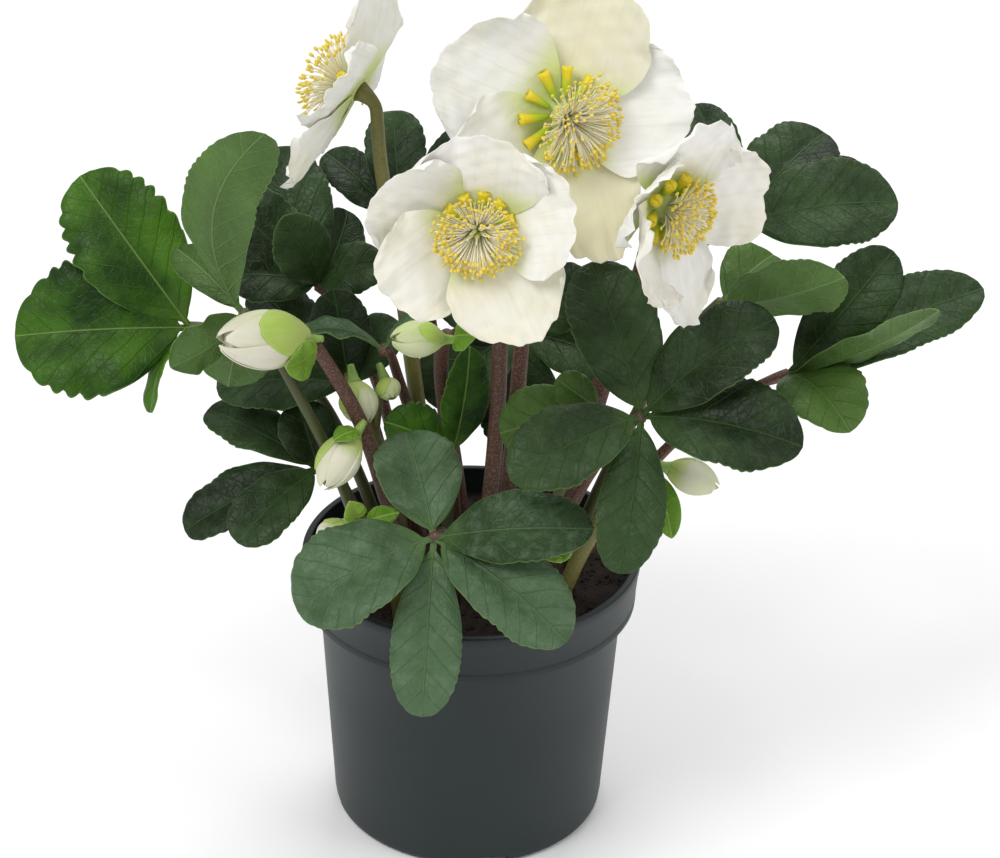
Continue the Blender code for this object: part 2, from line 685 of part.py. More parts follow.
def turned(name, profile, sides, slot):
    """A closed ring of faces round Z from a closed profile of (radius, height) points."""
    points, rings = [], []
    for radius, height in profile:
        if radius == 0.0:
            rings.append([len(points)])
            points.append((0.0, 0.0, height))
            continue
        ring = []
        for turn in range(sides):
            angle = 2.0 * math.pi * turn / sides
            ring.append(len(points))
            points.append((radius * math.cos(angle), radius * math.sin(angle), height))
        rings.append(ring)
    faces = []
    for ring, following in zip(rings, rings[1:]):
        for turn in range(sides):
            other = (turn + 1) % sides
            if len(ring) == 1:
                faces.append((ring[0], following[turn], following[other]))
            elif len(following) == 1:
                faces.append((ring[turn], following[0], ring[other]))
            else:
                faces.append((ring[turn], following[turn], following[other], ring[other]))
    return solid(name, points, faces, slot)


def wall_radius(height):
    """Outer radius of the pot's body at a height below the band."""
    share = height / (POT_HEIGHT - POT_BAND_HEIGHT)
    return POT_BASE_RADIUS + (POT_NECK_RADIUS - POT_BASE_RADIUS) * share


def band_inner_radius(height):
    share = (height - POT_HEIGHT + POT_BAND_HEIGHT) / POT_BAND_HEIGHT
    outer = POT_BAND_FOOT_RADIUS + (POT_RIM_RADIUS - POT_BAND_FOOT_RADIUS) * share
    return outer - POT_WALL - 0.6


def make_pot():
    band_foot = POT_HEIGHT - POT_BAND_HEIGHT
    floor_top = POT_FLOOR_LEVEL + POT_FLOOR_THICKNESS
    ring_inner = POT_BASE_RADIUS - POT_FOOT_RING_WIDTH - 2.0
    profile = [
        (0.0, 0.0), (POT_CENTRE_FOOT_RADIUS, 0.0), (POT_CENTRE_FOOT_RADIUS, POT_FLOOR_LEVEL),
        (ring_inner, POT_FLOOR_LEVEL), (ring_inner, 0.0), (POT_BASE_RADIUS - 2.6, 0.0),
        (wall_radius(2.6), 2.6), (wall_radius(band_foot), band_foot),
        (POT_BAND_FOOT_RADIUS, band_foot),
        (POT_RIM_RADIUS, POT_HEIGHT - 1.0), (POT_RIM_RADIUS - 0.8, POT_HEIGHT),
        (POT_RIM_RADIUS - POT_LIP_WIDTH, POT_HEIGHT),
        (band_inner_radius(POT_HEIGHT - 1.5), POT_HEIGHT - 1.5),
        (band_inner_radius(band_foot + POT_WALL), band_foot + POT_WALL),
        (wall_radius(band_foot) - POT_WALL, band_foot + POT_WALL),
        (wall_radius(floor_top) - POT_WALL, floor_top), (0.0, floor_top),
    ]
    pot = turned("pot", profile, POT_SIDES, "pot")
    cutters = []
    for number in range(NOTCH_COUNT):
        angle = math.radians(-90.0 + NOTCH_TURN + 360.0 * number / NOTCH_COUNT)
        outward = np.array((math.cos(angle), math.sin(angle), 0.0))
        sideways = np.array((-math.sin(angle), math.cos(angle), 0.0))
        corners = []
        for level in (-1.0, NOTCH_HEIGHT):
            for far, turn in ((40.0, -1), (40.0, 1), (58.0, 1), (58.0, -1)):
                corners.append(outward * far + sideways * turn * NOTCH_WIDTH / 2 + (0.0, 0.0, level))
        faces = [(0, 1, 2, 3), (4, 5, 6, 7), (0, 1, 5, 4), (1, 2, 6, 5), (2, 3, 7, 6), (3, 0, 4, 7)]
        cutters.append(solid(f"notch_{number}", corners, faces, "pot"))
    for number in range(DRAIN_COUNT):
        angle = 2.0 * math.pi * (number + 0.25) / DRAIN_COUNT
        spot = np.array((math.cos(angle), math.sin(angle), 0.0)) * DRAIN_CIRCLE
        path = [spot + (0.0, 0.0, POT_FLOOR_LEVEL - 2.0), spot + (0.0, 0.0, floor_top + 2.0)]
        cutters.append(tube(f"drain_{number}", path, [DRAIN_RADIUS] * 2, 8, "pot"))
    return combine(pot, cutters, "DIFFERENCE")


def soil_height(x, y):
    """Domed and lumpy, from a sum of sines."""
    reach = math.hypot(x, y) / POT_RIM_RADIUS
    lumps = math.sin(0.23 * x + 1.3) * math.cos(0.19 * y - 0.4) + 0.6 * math.sin(0.41 * x - 0.37 * y)
    return SOIL_LEVEL + SOIL_DOME * (1.0 - reach * reach) + SOIL_LUMP * lumps * (1.0 - reach)


def make_soil():
    band_foot = POT_HEIGHT - POT_BAND_HEIGHT
    floor = POT_FLOOR_LEVEL + POT_FLOOR_THICKNESS + FIT_GAP
    edge = band_inner_radius(SOIL_LEVEL) - FIT_GAP
    profile = [
        (0.0, floor), (wall_radius(floor) - POT_WALL - FIT_GAP, floor),
        (wall_radius(band_foot) - POT_WALL - FIT_GAP, band_foot + POT_WALL + FIT_GAP),
        (band_inner_radius(band_foot + POT_WALL) - FIT_GAP, band_foot + POT_WALL + FIT_GAP),
        (edge, SOIL_LEVEL),
    ]
    profile += [(edge * share, SOIL_LEVEL) for share in reversed(SOIL_RINGS[:-1])]
    soil = turned("soil", profile, POT_SIDES, "soil")
    for vert in soil.data.vertices:
        x, y, z = (value / MM for value in vert.co)
        if abs(z - SOIL_LEVEL) < 0.01 and math.hypot(x, y) < edge - 1.0:
            vert.co.z = soil_height(x, y) * MM
    cutters = []
    growths = [(plan["crown"], PETIOLE_RADIUS) for plan in LEAVES.values()]
    growths += [(plan["crown"], 2.4) for plan in BLOOMS.values()]
    growths += [(plan["crown"], 2.1) for plan in BUD_STEMS.values()]
    for number, ((x, y), radius) in enumerate(growths):
        path = [(x, y, SOIL_LEVEL - HOLE_DEPTH), (x, y, SOIL_LEVEL + 8.0)]
        hole = (radius + FIT_GAP) / math.cos(math.pi / HOLE_SIDES)
        cutters.append(tube(f"hole_{number}", path, [hole] * 2, HOLE_SIDES, "soil"))
    return combine(soil, cutters, "DIFFERENCE")


def main():
    clear_scene()
    make_pot()
    make_soil()
    for name, plan in LEAVES.items():
        make_leaf(name, plan)
    for name, plan in BLOOMS.items():
        make_bloom(name, plan)
    for name, plan in BUD_STEMS.items():
        make_bud_stem(name, plan)


main()
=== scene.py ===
import math
import bmesh
import bpy
import numpy as np
from mathutils import Matrix, Vector


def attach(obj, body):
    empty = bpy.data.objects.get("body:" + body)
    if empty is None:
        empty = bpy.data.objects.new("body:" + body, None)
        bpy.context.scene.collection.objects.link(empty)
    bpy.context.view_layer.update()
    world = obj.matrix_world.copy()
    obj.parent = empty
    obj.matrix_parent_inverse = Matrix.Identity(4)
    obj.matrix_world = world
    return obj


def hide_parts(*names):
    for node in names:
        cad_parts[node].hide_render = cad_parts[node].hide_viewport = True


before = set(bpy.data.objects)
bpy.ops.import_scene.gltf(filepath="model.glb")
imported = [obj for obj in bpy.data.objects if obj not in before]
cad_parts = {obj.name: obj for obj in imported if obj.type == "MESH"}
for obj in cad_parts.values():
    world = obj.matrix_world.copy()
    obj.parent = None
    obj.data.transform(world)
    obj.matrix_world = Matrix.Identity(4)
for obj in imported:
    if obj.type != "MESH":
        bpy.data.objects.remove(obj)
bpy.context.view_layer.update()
mm = 0.001
print("frame loaded:", len(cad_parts), "nodes")


# small helpers

def linear(hexColour):
    # sRGB hex to the linear values that Blender shades with
    values = [int(hexColour[i:i + 2], 16) / 255 for i in (1, 3, 5)]
    return tuple(v / 12.92 if v <= 0.04045 else ((v + 0.055) / 1.055) ** 2.4 for v in values) + (1.0,)


def darker(hexColour, share):
    return tuple(share * c for c in linear(hexColour)[:3]) + (1.0,)


def fill(node, values):
    # each value goes to the input of that name or number: a node or socket is linked, the rest is set
    for key, value in values.items():
        if isinstance(value, str):
            value = linear(value)
        if isinstance(value, bpy.types.Node):
            value = value.outputs[0]
        if isinstance(value, bpy.types.NodeSocket):
            node.id_data.links.new(value, node.inputs[key])
        else:
            node.inputs[key].default_value = value


class Graph:
    # a node tree written as calls
    def __init__(self, tree):
        self.tree = tree

    def node(self, kind, values=None, **settings):
        node = self.tree.nodes.new(kind)
        for key, value in settings.items():
            setattr(node, key, value)
        fill(node, values or {})
        return node

    def math(self, operation, *values, clamp=False):
        return self.node("ShaderNodeMath", dict(enumerate(values)), operation=operation, use_clamp=clamp)

    def ramp(self, value, start, end, low=0.0, high=1.0, kind="LINEAR"):
        values = {"Value": value, "From Min": start, "From Max": end, "To Min": low, "To Max": high}
        return self.node("ShaderNodeMapRange", values, interpolation_type=kind)

    def mix(self, share, first, second, blend="MIX"):
        values = {0: share, 6: first, 7: second}
        return self.node("ShaderNodeMix", values, data_type="RGBA", blend_type=blend).outputs[2]

    def noise(self, scale, detail, roughness=0.5, place=None):
        place = place or self.node("ShaderNodeTexCoord").outputs["Object"]
        values = {"Vector": place, "Scale": scale, "Detail": detail, "Roughness": roughness}
        return self.node("ShaderNodeTexNoise", values)

    def mark(self, name):
        return self.node("ShaderNodeAttribute", attribute_name=name).outputs["Fac"]


class Skin(Graph):
    # the tree of a material, finished with the values of its shader
    def __init__(self, name):
        self.material = bpy.data.materials.new(name)
        self.material.use_nodes = True
        super().__init__(self.material.node_tree)

    def finish(self, values, height=None, strength=0.0, distance=0.0):
        shader = self.tree.nodes["Principled BSDF"]
        fill(shader, values)
        if height:
            bump = {"Height": height, "Strength": strength, "Distance": distance}
            fill(shader, {"Normal": self.node("ShaderNodeBump", bump)})
        return self.material


def unit(v):
    v = np.asarray(v, float)
    return v / np.linalg.norm(v)


def across(v, axis):
    v = np.asarray(v, float)
    return unit(v - axis * float(np.dot(v, axis)))


def outline(share, widest, rise=0.75):
    # half width of a blade along its length, 1 at the widest point
    fall = rise * (1 - widest) / widest
    return share ** rise * np.clip(1 - share, 0, 1) ** fall / (widest ** rise * (1 - widest) ** fall)


def graded(steps, shares, values):
    # values at even steps, between those given at shares of the way
    return np.interp(np.linspace(0, 1, steps), shares, values)


class Growth:
    # one plant piece in the making: sheets and stalks in millimetres, with their marks
    def __init__(self, name):
        self.name = name
        self.points, self.faces, self.slots = [], [], []
        self.marks = {"under": [], "edge": [], "part": [], "tone": []}
        self.uv = []
        self.count = 0

    def add(self, points, faces, slot, uv=None, **marks):
        points = np.asarray(points, float).reshape(-1, 3)
        size = len(points)
        self.points.append(points)
        self.faces += [tuple(int(i) + self.count for i in face) for face in faces]
        self.slots += [slot] * len(faces)
        self.uv.append(np.zeros((size, 2)) if uv is None else np.asarray(uv, float).reshape(-1, 2))
        for key, values in self.marks.items():
            given = marks.get(key, 0.0)
            values.append(np.full(size, given, float) if np.isscalar(given) else np.ravel(given))
        self.count += size

    def finish(self, materials):
        mesh = bpy.data.meshes.new(self.name)
        mesh.from_pydata((np.vstack(self.points) * mm).tolist(), [], self.faces)
        for material in materials:
            mesh.materials.append(material)
        mesh.polygons.foreach_set("material_index", np.array(self.slots, np.int32))
        corners = np.zeros(len(mesh.loops), np.int32)
        mesh.loops.foreach_get("vertex_index", corners)
        layer = mesh.uv_layers.new(name="surface")
        layer.data.foreach_set("uv", np.vstack(self.uv)[corners].astype(np.float32).ravel())
        for key, values in self.marks.items():
            mark = mesh.attributes.new(key, "FLOAT", "POINT")
            mark.data.foreach_set("value", np.concatenate(values).astype(np.float32))
        mesh.shade_smooth()
        mesh.update()
        piece = bpy.data.objects.new(self.name, mesh)
        bpy.context.scene.collection.objects.link(piece)
        return piece


def gridFaces(rows, columns, start=0, closed=False):
    # quads between the points of a grid, which may close on itself sideways
    faces = []
    for row in range(rows - 1):
        for column in range(columns if closed else columns - 1):
            a = start + row * columns + column
            b = start + row * columns + (column + 1) % columns
            faces.append((a, b, b + columns, a + columns))
    return faces


def addSheet(growth, upper, lower, slot, uv, edge, part=0.0, tone=0.0):
    # a closed blade: two grids and the thin rim between them
    rows, columns = upper.shape[:2]
    size = rows * columns
    faces = gridFaces(rows, columns)
    faces += [tuple(reversed(face)) for face in gridFaces(rows, columns, size)]
    rim = list(range(columns)) + [r * columns + columns - 1 for r in range(1, rows)]
    rim += [(rows - 1) * columns + c for c in range(columns - 2, -1, -1)]
    rim += [r * columns for r in range(rows - 2, 0, -1)]
    faces += [(b, a, a + size, b + size) for a, b in zip(rim, rim[1:] + rim[:1])]
    points = np.vstack([upper.reshape(-1, 3), lower.reshape(-1, 3)])
    under = np.concatenate([np.zeros(size), np.ones(size)])
    edges = np.concatenate([np.ravel(edge)] * 2)
    parts = part if np.isscalar(part) else np.concatenate([np.ravel(part)] * 2)
    surface = np.vstack([uv.reshape(-1, 2)] * 2)
    growth.add(points, faces, slot, uv=surface, under=under, edge=edges, part=parts, tone=tone)


def addStalk(growth, path, radii, sides, slot, part=0.0):
    # a round stalk with closed ends, its rings turned as little as the path allows
    path = np.asarray(path, float)
    radii = np.broadcast_to(radii, len(path))
    side = across((1.0, 0.13, 0.07), unit(path[1] - path[0]))
    rings = []
    for index, centre in enumerate(path):
        along = unit(path[min(index + 1, len(path) - 1)] - path[max(index - 1, 0)])
        side = across(side, along)
        lift = np.cross(along, side)
        turns = 2 * math.pi * np.arange(sides)[:, None] / sides
        rings.append(centre + radii[index] * (side * np.cos(turns) + lift * np.sin(turns)))
    faces = gridFaces(len(path), sides, closed=True)
    faces += [tuple(range(sides - 1, -1, -1)), tuple(range((len(path) - 1) * sides, len(path) * sides))]
    marks = part if np.isscalar(part) else np.repeat(part, sides)
    growth.add(np.vstack(rings), faces, slot, part=marks)


def bend(start, steer, end, steps):
    # a curve that leaves start towards steer and comes from there to end
    start, steer, end = (np.asarray(p, float) for p in (start, steer, end))
    share = np.linspace(0, 1, steps)[:, None]
    return start * (1 - share) ** 2 + steer * 2 * share * (1 - share) + end * share ** 2


def stemPath(crown, steer, end, steps=36):
    # from below the peat's surface up to the end
    ground = (*crown, soil["level"] + 5.0)
    return np.vstack([(*crown, soil["level"] - 8.0), bend(ground, steer, end, steps)])


def wandering(path, amount, seed):
    # a stem is never a drawn curve: it wavers a little, but not at its ends
    share = np.linspace(0, 1, len(path))[:, None]
    phase = np.array((1.7, 2.9, 0.0)) * seed
    return path + amount * np.sin(share * math.pi) * np.sin(share * np.array((9.0, 7.0, 0.0)) + phase)


def settle(piece, name):
    # the plant is one body, and each piece stands for one node
    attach(piece, "root")
    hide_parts(name)


# materials

cells = {  # cells of each noise in a metre, from the size of its patches
    "leafClouds": 38.0,     # 26 mm: darker and lighter green
    "leafGrain": 210.0,     # 5 mm: rubbed wax and dust, and patches of painted sheen
    "stemMottle": 90.0,     # 11 mm
    "stemFlecks": 1600.0,   # 0.6 mm
    "petalClouds": 45.0,    # 22 mm: cream tints
    "petalPuckers": 120.0,  # 8 mm
    "tissueGrain": 500.0,   # 2 mm
    "potScuffs": 28.0,      # 36 mm
    "potSkin": 900.0,       # 1.1 mm: the grain of the mould
    "peatLumps": 260.0,     # 4 mm
}
leafLooks = {
    # blade in shade and light, back of the blade, its veins, midrib, veins above, dust with painted sheen
    "dark": ("#13240a", "#304722", "#4d6833", "#6d8a4c", "#3c5a2a", "#4a6540", 0.12),
    "grey": ("#263e1b", "#4e6848", "#56743c", "#7c9a5a", "#5c7848", "#64805c", 0.30),
    "bright": ("#103000", "#436f12", "#5a7f30", "#86a85a", "#7fa04c", "#4f7c22", 0.0),
    "pale": ("#2f4a18", "#4c692c", "#56763a", "#86a264", "#6c8a48", "#5f7f3e", 0.04),
    "young": ("#56831c", "#86aa3c", "#93b552", "#bccf84", "#9fbc58", "#97b650", 0.0),
}
veinSpacing = 8.0  # mm between side veins of a full-grown leaflet
veinSlant = 0.95   # how far a side vein runs forward on its way to the margin
netCell = 2.6      # mm across one mesh of the vein net: really about 1 mm, drawn coarser so that it shows


def leafMaterial(name):
    # leathery evergreen leaf blade: waxy cuticle with a soft gloss, sunk midrib, side veins and a fine net
    dark, light, under, backVein, midribTone, vein, dustAndSheen = leafLooks[name]
    g = Skin("leatheryLeaf_" + name)
    uv = g.node("ShaderNodeUVMap", uv_map="surface")
    place = g.node("ShaderNodeSeparateXYZ", {0: uv})
    aside = g.math("ABSOLUTE", g.math("SUBTRACT", place.outputs[0], 0.5))
    clouds = g.noise(cells["leafClouds"], 4.0, 0.55)
    grain = g.noise(cells["leafGrain"], 5.0, 0.65)
    # side veins slant forward and waver, with a fine net between them
    slant = g.math("MULTIPLY_ADD", aside, -veinSlant, place.outputs[1])
    shaken = g.math("MULTIPLY_ADD", g.noise(9.0, 2.0, place=uv), 0.035, slant)
    step = g.math("FRACT", g.math("MULTIPLY", shaken, 100 / veinSpacing))
    away = g.math("ABSOLUTE", g.math("SUBTRACT", step, 0.5))
    sideVein = g.ramp(away, 0.0, 0.06, 1.0, 0.0, "SMOOTHSTEP")
    midrib = g.ramp(aside, 0.001, 0.0055, 1.0, 0.0, "SMOOTHSTEP")
    net = g.node("ShaderNodeTexVoronoi", {"Vector": uv, "Scale": 100 / netCell}, feature="DISTANCE_TO_EDGE")
    veins = g.math("MAXIMUM", sideVein, g.ramp(net.outputs["Distance"], 0.0, 0.10, 0.22, 0.0))
    ribs = g.math("MAXIMUM", veins, midrib)
    # upper side: cloudy green, grey where the wax is rubbed and dusty and as a painted sheen, faint veins,
    # brighter at the leaflet's foot
    patch = g.ramp(clouds, 0.36, 0.66)
    # random clouds and the tone mark move the green between its shade and light colours: painted shade and
    # painted light
    top = g.mix(g.math("ADD", patch, g.mark("tone"), clamp=True), dark, light)
    # the grey is partly real dust and rubbed wax, partly a painted sheen
    top = g.mix(g.ramp(grain, 0.50, 0.80, 0.0, dustAndSheen), top, "#8a9d86")
    top = g.mix(g.math("MULTIPLY", veins, 0.30), top, vein)
    top = g.mix(g.math("MULTIPLY", midrib, 0.60), top, midribTone)
    top = g.mix(g.ramp(g.mark("part"), 0.06, 0.24, 0.55, 0.0), top, under)
    # back: paler, with raised light veins
    back = g.mix(patch, darker(under, 0.66), under)
    back = g.mix(g.math("MULTIPLY", ribs, 0.45), back, backVein)
    blade = g.mix(g.ramp(g.mark("under"), 0.35, 0.65), top, back)
    margin = g.ramp(g.mark("edge"), 0.965, 0.998, 0.0, 0.45)
    relief = g.math("MULTIPLY_ADD", clouds, 2.2, g.math("MULTIPLY", ribs, -1.0))
    relief = g.math("MULTIPLY_ADD", grain, 0.6, relief)
    return g.finish({"Base Color": g.mix(margin, blade, backVein),
                     "Roughness": g.ramp(grain, 0.0, 1.0, 0.30, 0.58),
                     "Specular IOR Level": 0.22, "Subsurface Weight": 0.05,
                     "Subsurface Radius": (0.3, 1.0, 0.2), "Subsurface Scale": 0.0015}, relief, 0.7, 0.0007)


stemLooks = {
    # ground colour, fleck colour, share of flecks, roughness
    "brown": ("#54352a", "#94705a", 0.50, 0.55),
    "green": ("#7a7a3a", "#5d3b28", 0.45, 0.50),
    "petiole": ("#4c5a2a", "#5e3a2a", 0.45, 0.50),
    "bract": ("#9cc45c", "#c4dc90", 0.20, 0.48),
}


def stemMaterial(name):
    # fleshy stem skin: red-brown flecks of a few tenths of a millimetre, drawn at 0.6 mm so that they show
    ground, fleck, share, roughness = stemLooks[name]
    g = Skin("stemSkin_" + name)
    base = g.mix(g.noise(cells["stemMottle"], 3.0), ground, darker(ground, 0.62))
    specks = g.noise(cells["stemFlecks"], 1.0)
    skin = g.mix(g.ramp(specks, 0.50, 0.62, 0.0, share), base, fleck)
    return g.finish({"Base Color": skin, "Roughness": roughness}, specks, 0.25, 0.0003)


def sepalMaterial(name, white, shade, throat):
    # petal-like sepal: thin white tissue with hair-fine veins, greenish at its foot, light passes through
    g = Skin(name)
    uv = g.node("ShaderNodeUVMap", uv_map="surface")
    stretch = g.node("ShaderNodeMapping", {"Vector": uv, "Scale": (26.0, 2.2, 1.0)})
    lines = g.ramp(g.noise(2.4, 4.0, place=stretch), 0.50, 0.72, 0.0, 0.22)
    patch = g.ramp(g.noise(cells["petalClouds"], 3.0), 0.42, 0.75, 0.0, 0.5)
    # the tone mark pulls towards the second colour: on white sepals partly their real cream, partly painted
    # shade on the lower sepals; on buds their real green
    tint = g.mix(g.math("ADD", patch, g.mark("tone"), clamp=True), white, shade)
    tint = g.mix(g.ramp(g.mark("part"), 0.10, 0.46, 1.0, 0.0, "SMOOTHSTEP"), tint, throat)
    height = g.math("ADD", lines, g.noise(cells["petalPuckers"], 3.0))
    return g.finish({"Base Color": g.mix(lines, tint, "#cfcbb4"), "Roughness": 0.55,
                     "Specular IOR Level": 0.3, "Subsurface Weight": 0.18,
                     "Subsurface Radius": (1.0, 0.95, 0.8), "Subsurface Scale": 0.002}, height, 0.4, 0.0008)


def twoToneMaterial(name, first, second, roughness, start=0.45, end=0.55):
    # soft flower tissue that changes colour along the mark "part"
    g = Skin(name)
    mixed = g.mix(g.ramp(g.mark("part"), start, end), first, second)
    shade = g.ramp(g.noise(cells["tissueGrain"], 2.0), 0.0, 1.0, 0.0, 0.35)
    return g.finish({"Base Color": g.mix(shade, mixed, "#e1cea8", "MULTIPLY"), "Roughness": roughness,
                     "Subsurface Weight": 0.1, "Subsurface Radius": (1.0, 0.8, 0.3),
                     "Subsurface Scale": 0.001})


def potMaterial():
    # injection-moulded polypropylene, dark grey-green, satin, with faint scuffs from handling
    g = Skin("mouldedPolypropylene")
    scuffs = g.noise(cells["potScuffs"], 5.0, 0.65)
    return g.finish({"Base Color": g.mix(scuffs, "#1e2626", "#2a3334"),
                     "Roughness": g.ramp(scuffs, 0.0, 1.0, 0.42, 0.54),
                     "Specular IOR Level": 0.30}, g.noise(cells["potSkin"], 2.0), 0.05, 0.0002)


def peatMaterial():
    # moist peat substrate: nearly black crumbs with paler fibres
    g = Skin("moistPeat")
    lumps = g.noise(cells["peatLumps"], 6.0, 0.7)
    colour = g.mix(g.ramp(lumps, 0.35, 0.75), "#120c08", "#33241a")
    return g.finish({"Base Color": g.mix(g.mark("part"), colour, "#5b4331"), "Roughness": 0.93},
                    lumps, 0.9, 0.002)


leafSkins = {name: leafMaterial(name) for name in leafLooks}
stemSkins = {name: stemMaterial(name) for name in stemLooks}
sepalWhite = sepalMaterial("sepalTissueWhite", "#f5f4f0", "#e3ddb9", "#cfdb8e")
budWhite = sepalMaterial("budTissueCream", "#e6dfd0", "#a9c45a", "#b4c66e")
stamenTissue = twoToneMaterial("stamenTissue", "#fffbe4", "#f0da5c", 0.6)
nectaryTissue = twoToneMaterial("nectaryTissue", "#b2cf2e", "#ecd824", 0.4, 0.35, 0.8)
carpelTissue = twoToneMaterial("carpelTissue", "#d5e08e", "#f1efc6", 0.5, 0.3, 0.9)
print("materials ready")


# leaves: the crown is where the stalk leaves the soil, the hub is where the leaflets meet
# a leaflet: reach from the hub, width, arch, what its upper side faces, widest point, and what it has of
# its own, such as tone (painted shade and light: it moves the blade between its shade and light colours),
# depth and spacing of its teeth, sideways sweep, and the slot of the pale skin

soil = {"level": 101.0, "dome": 2.0, "lump": 1.2, "rings": 46, "turns": 120, "crumbDensity": 62000,
        "fibreDensity": 9000, "seed": 7}

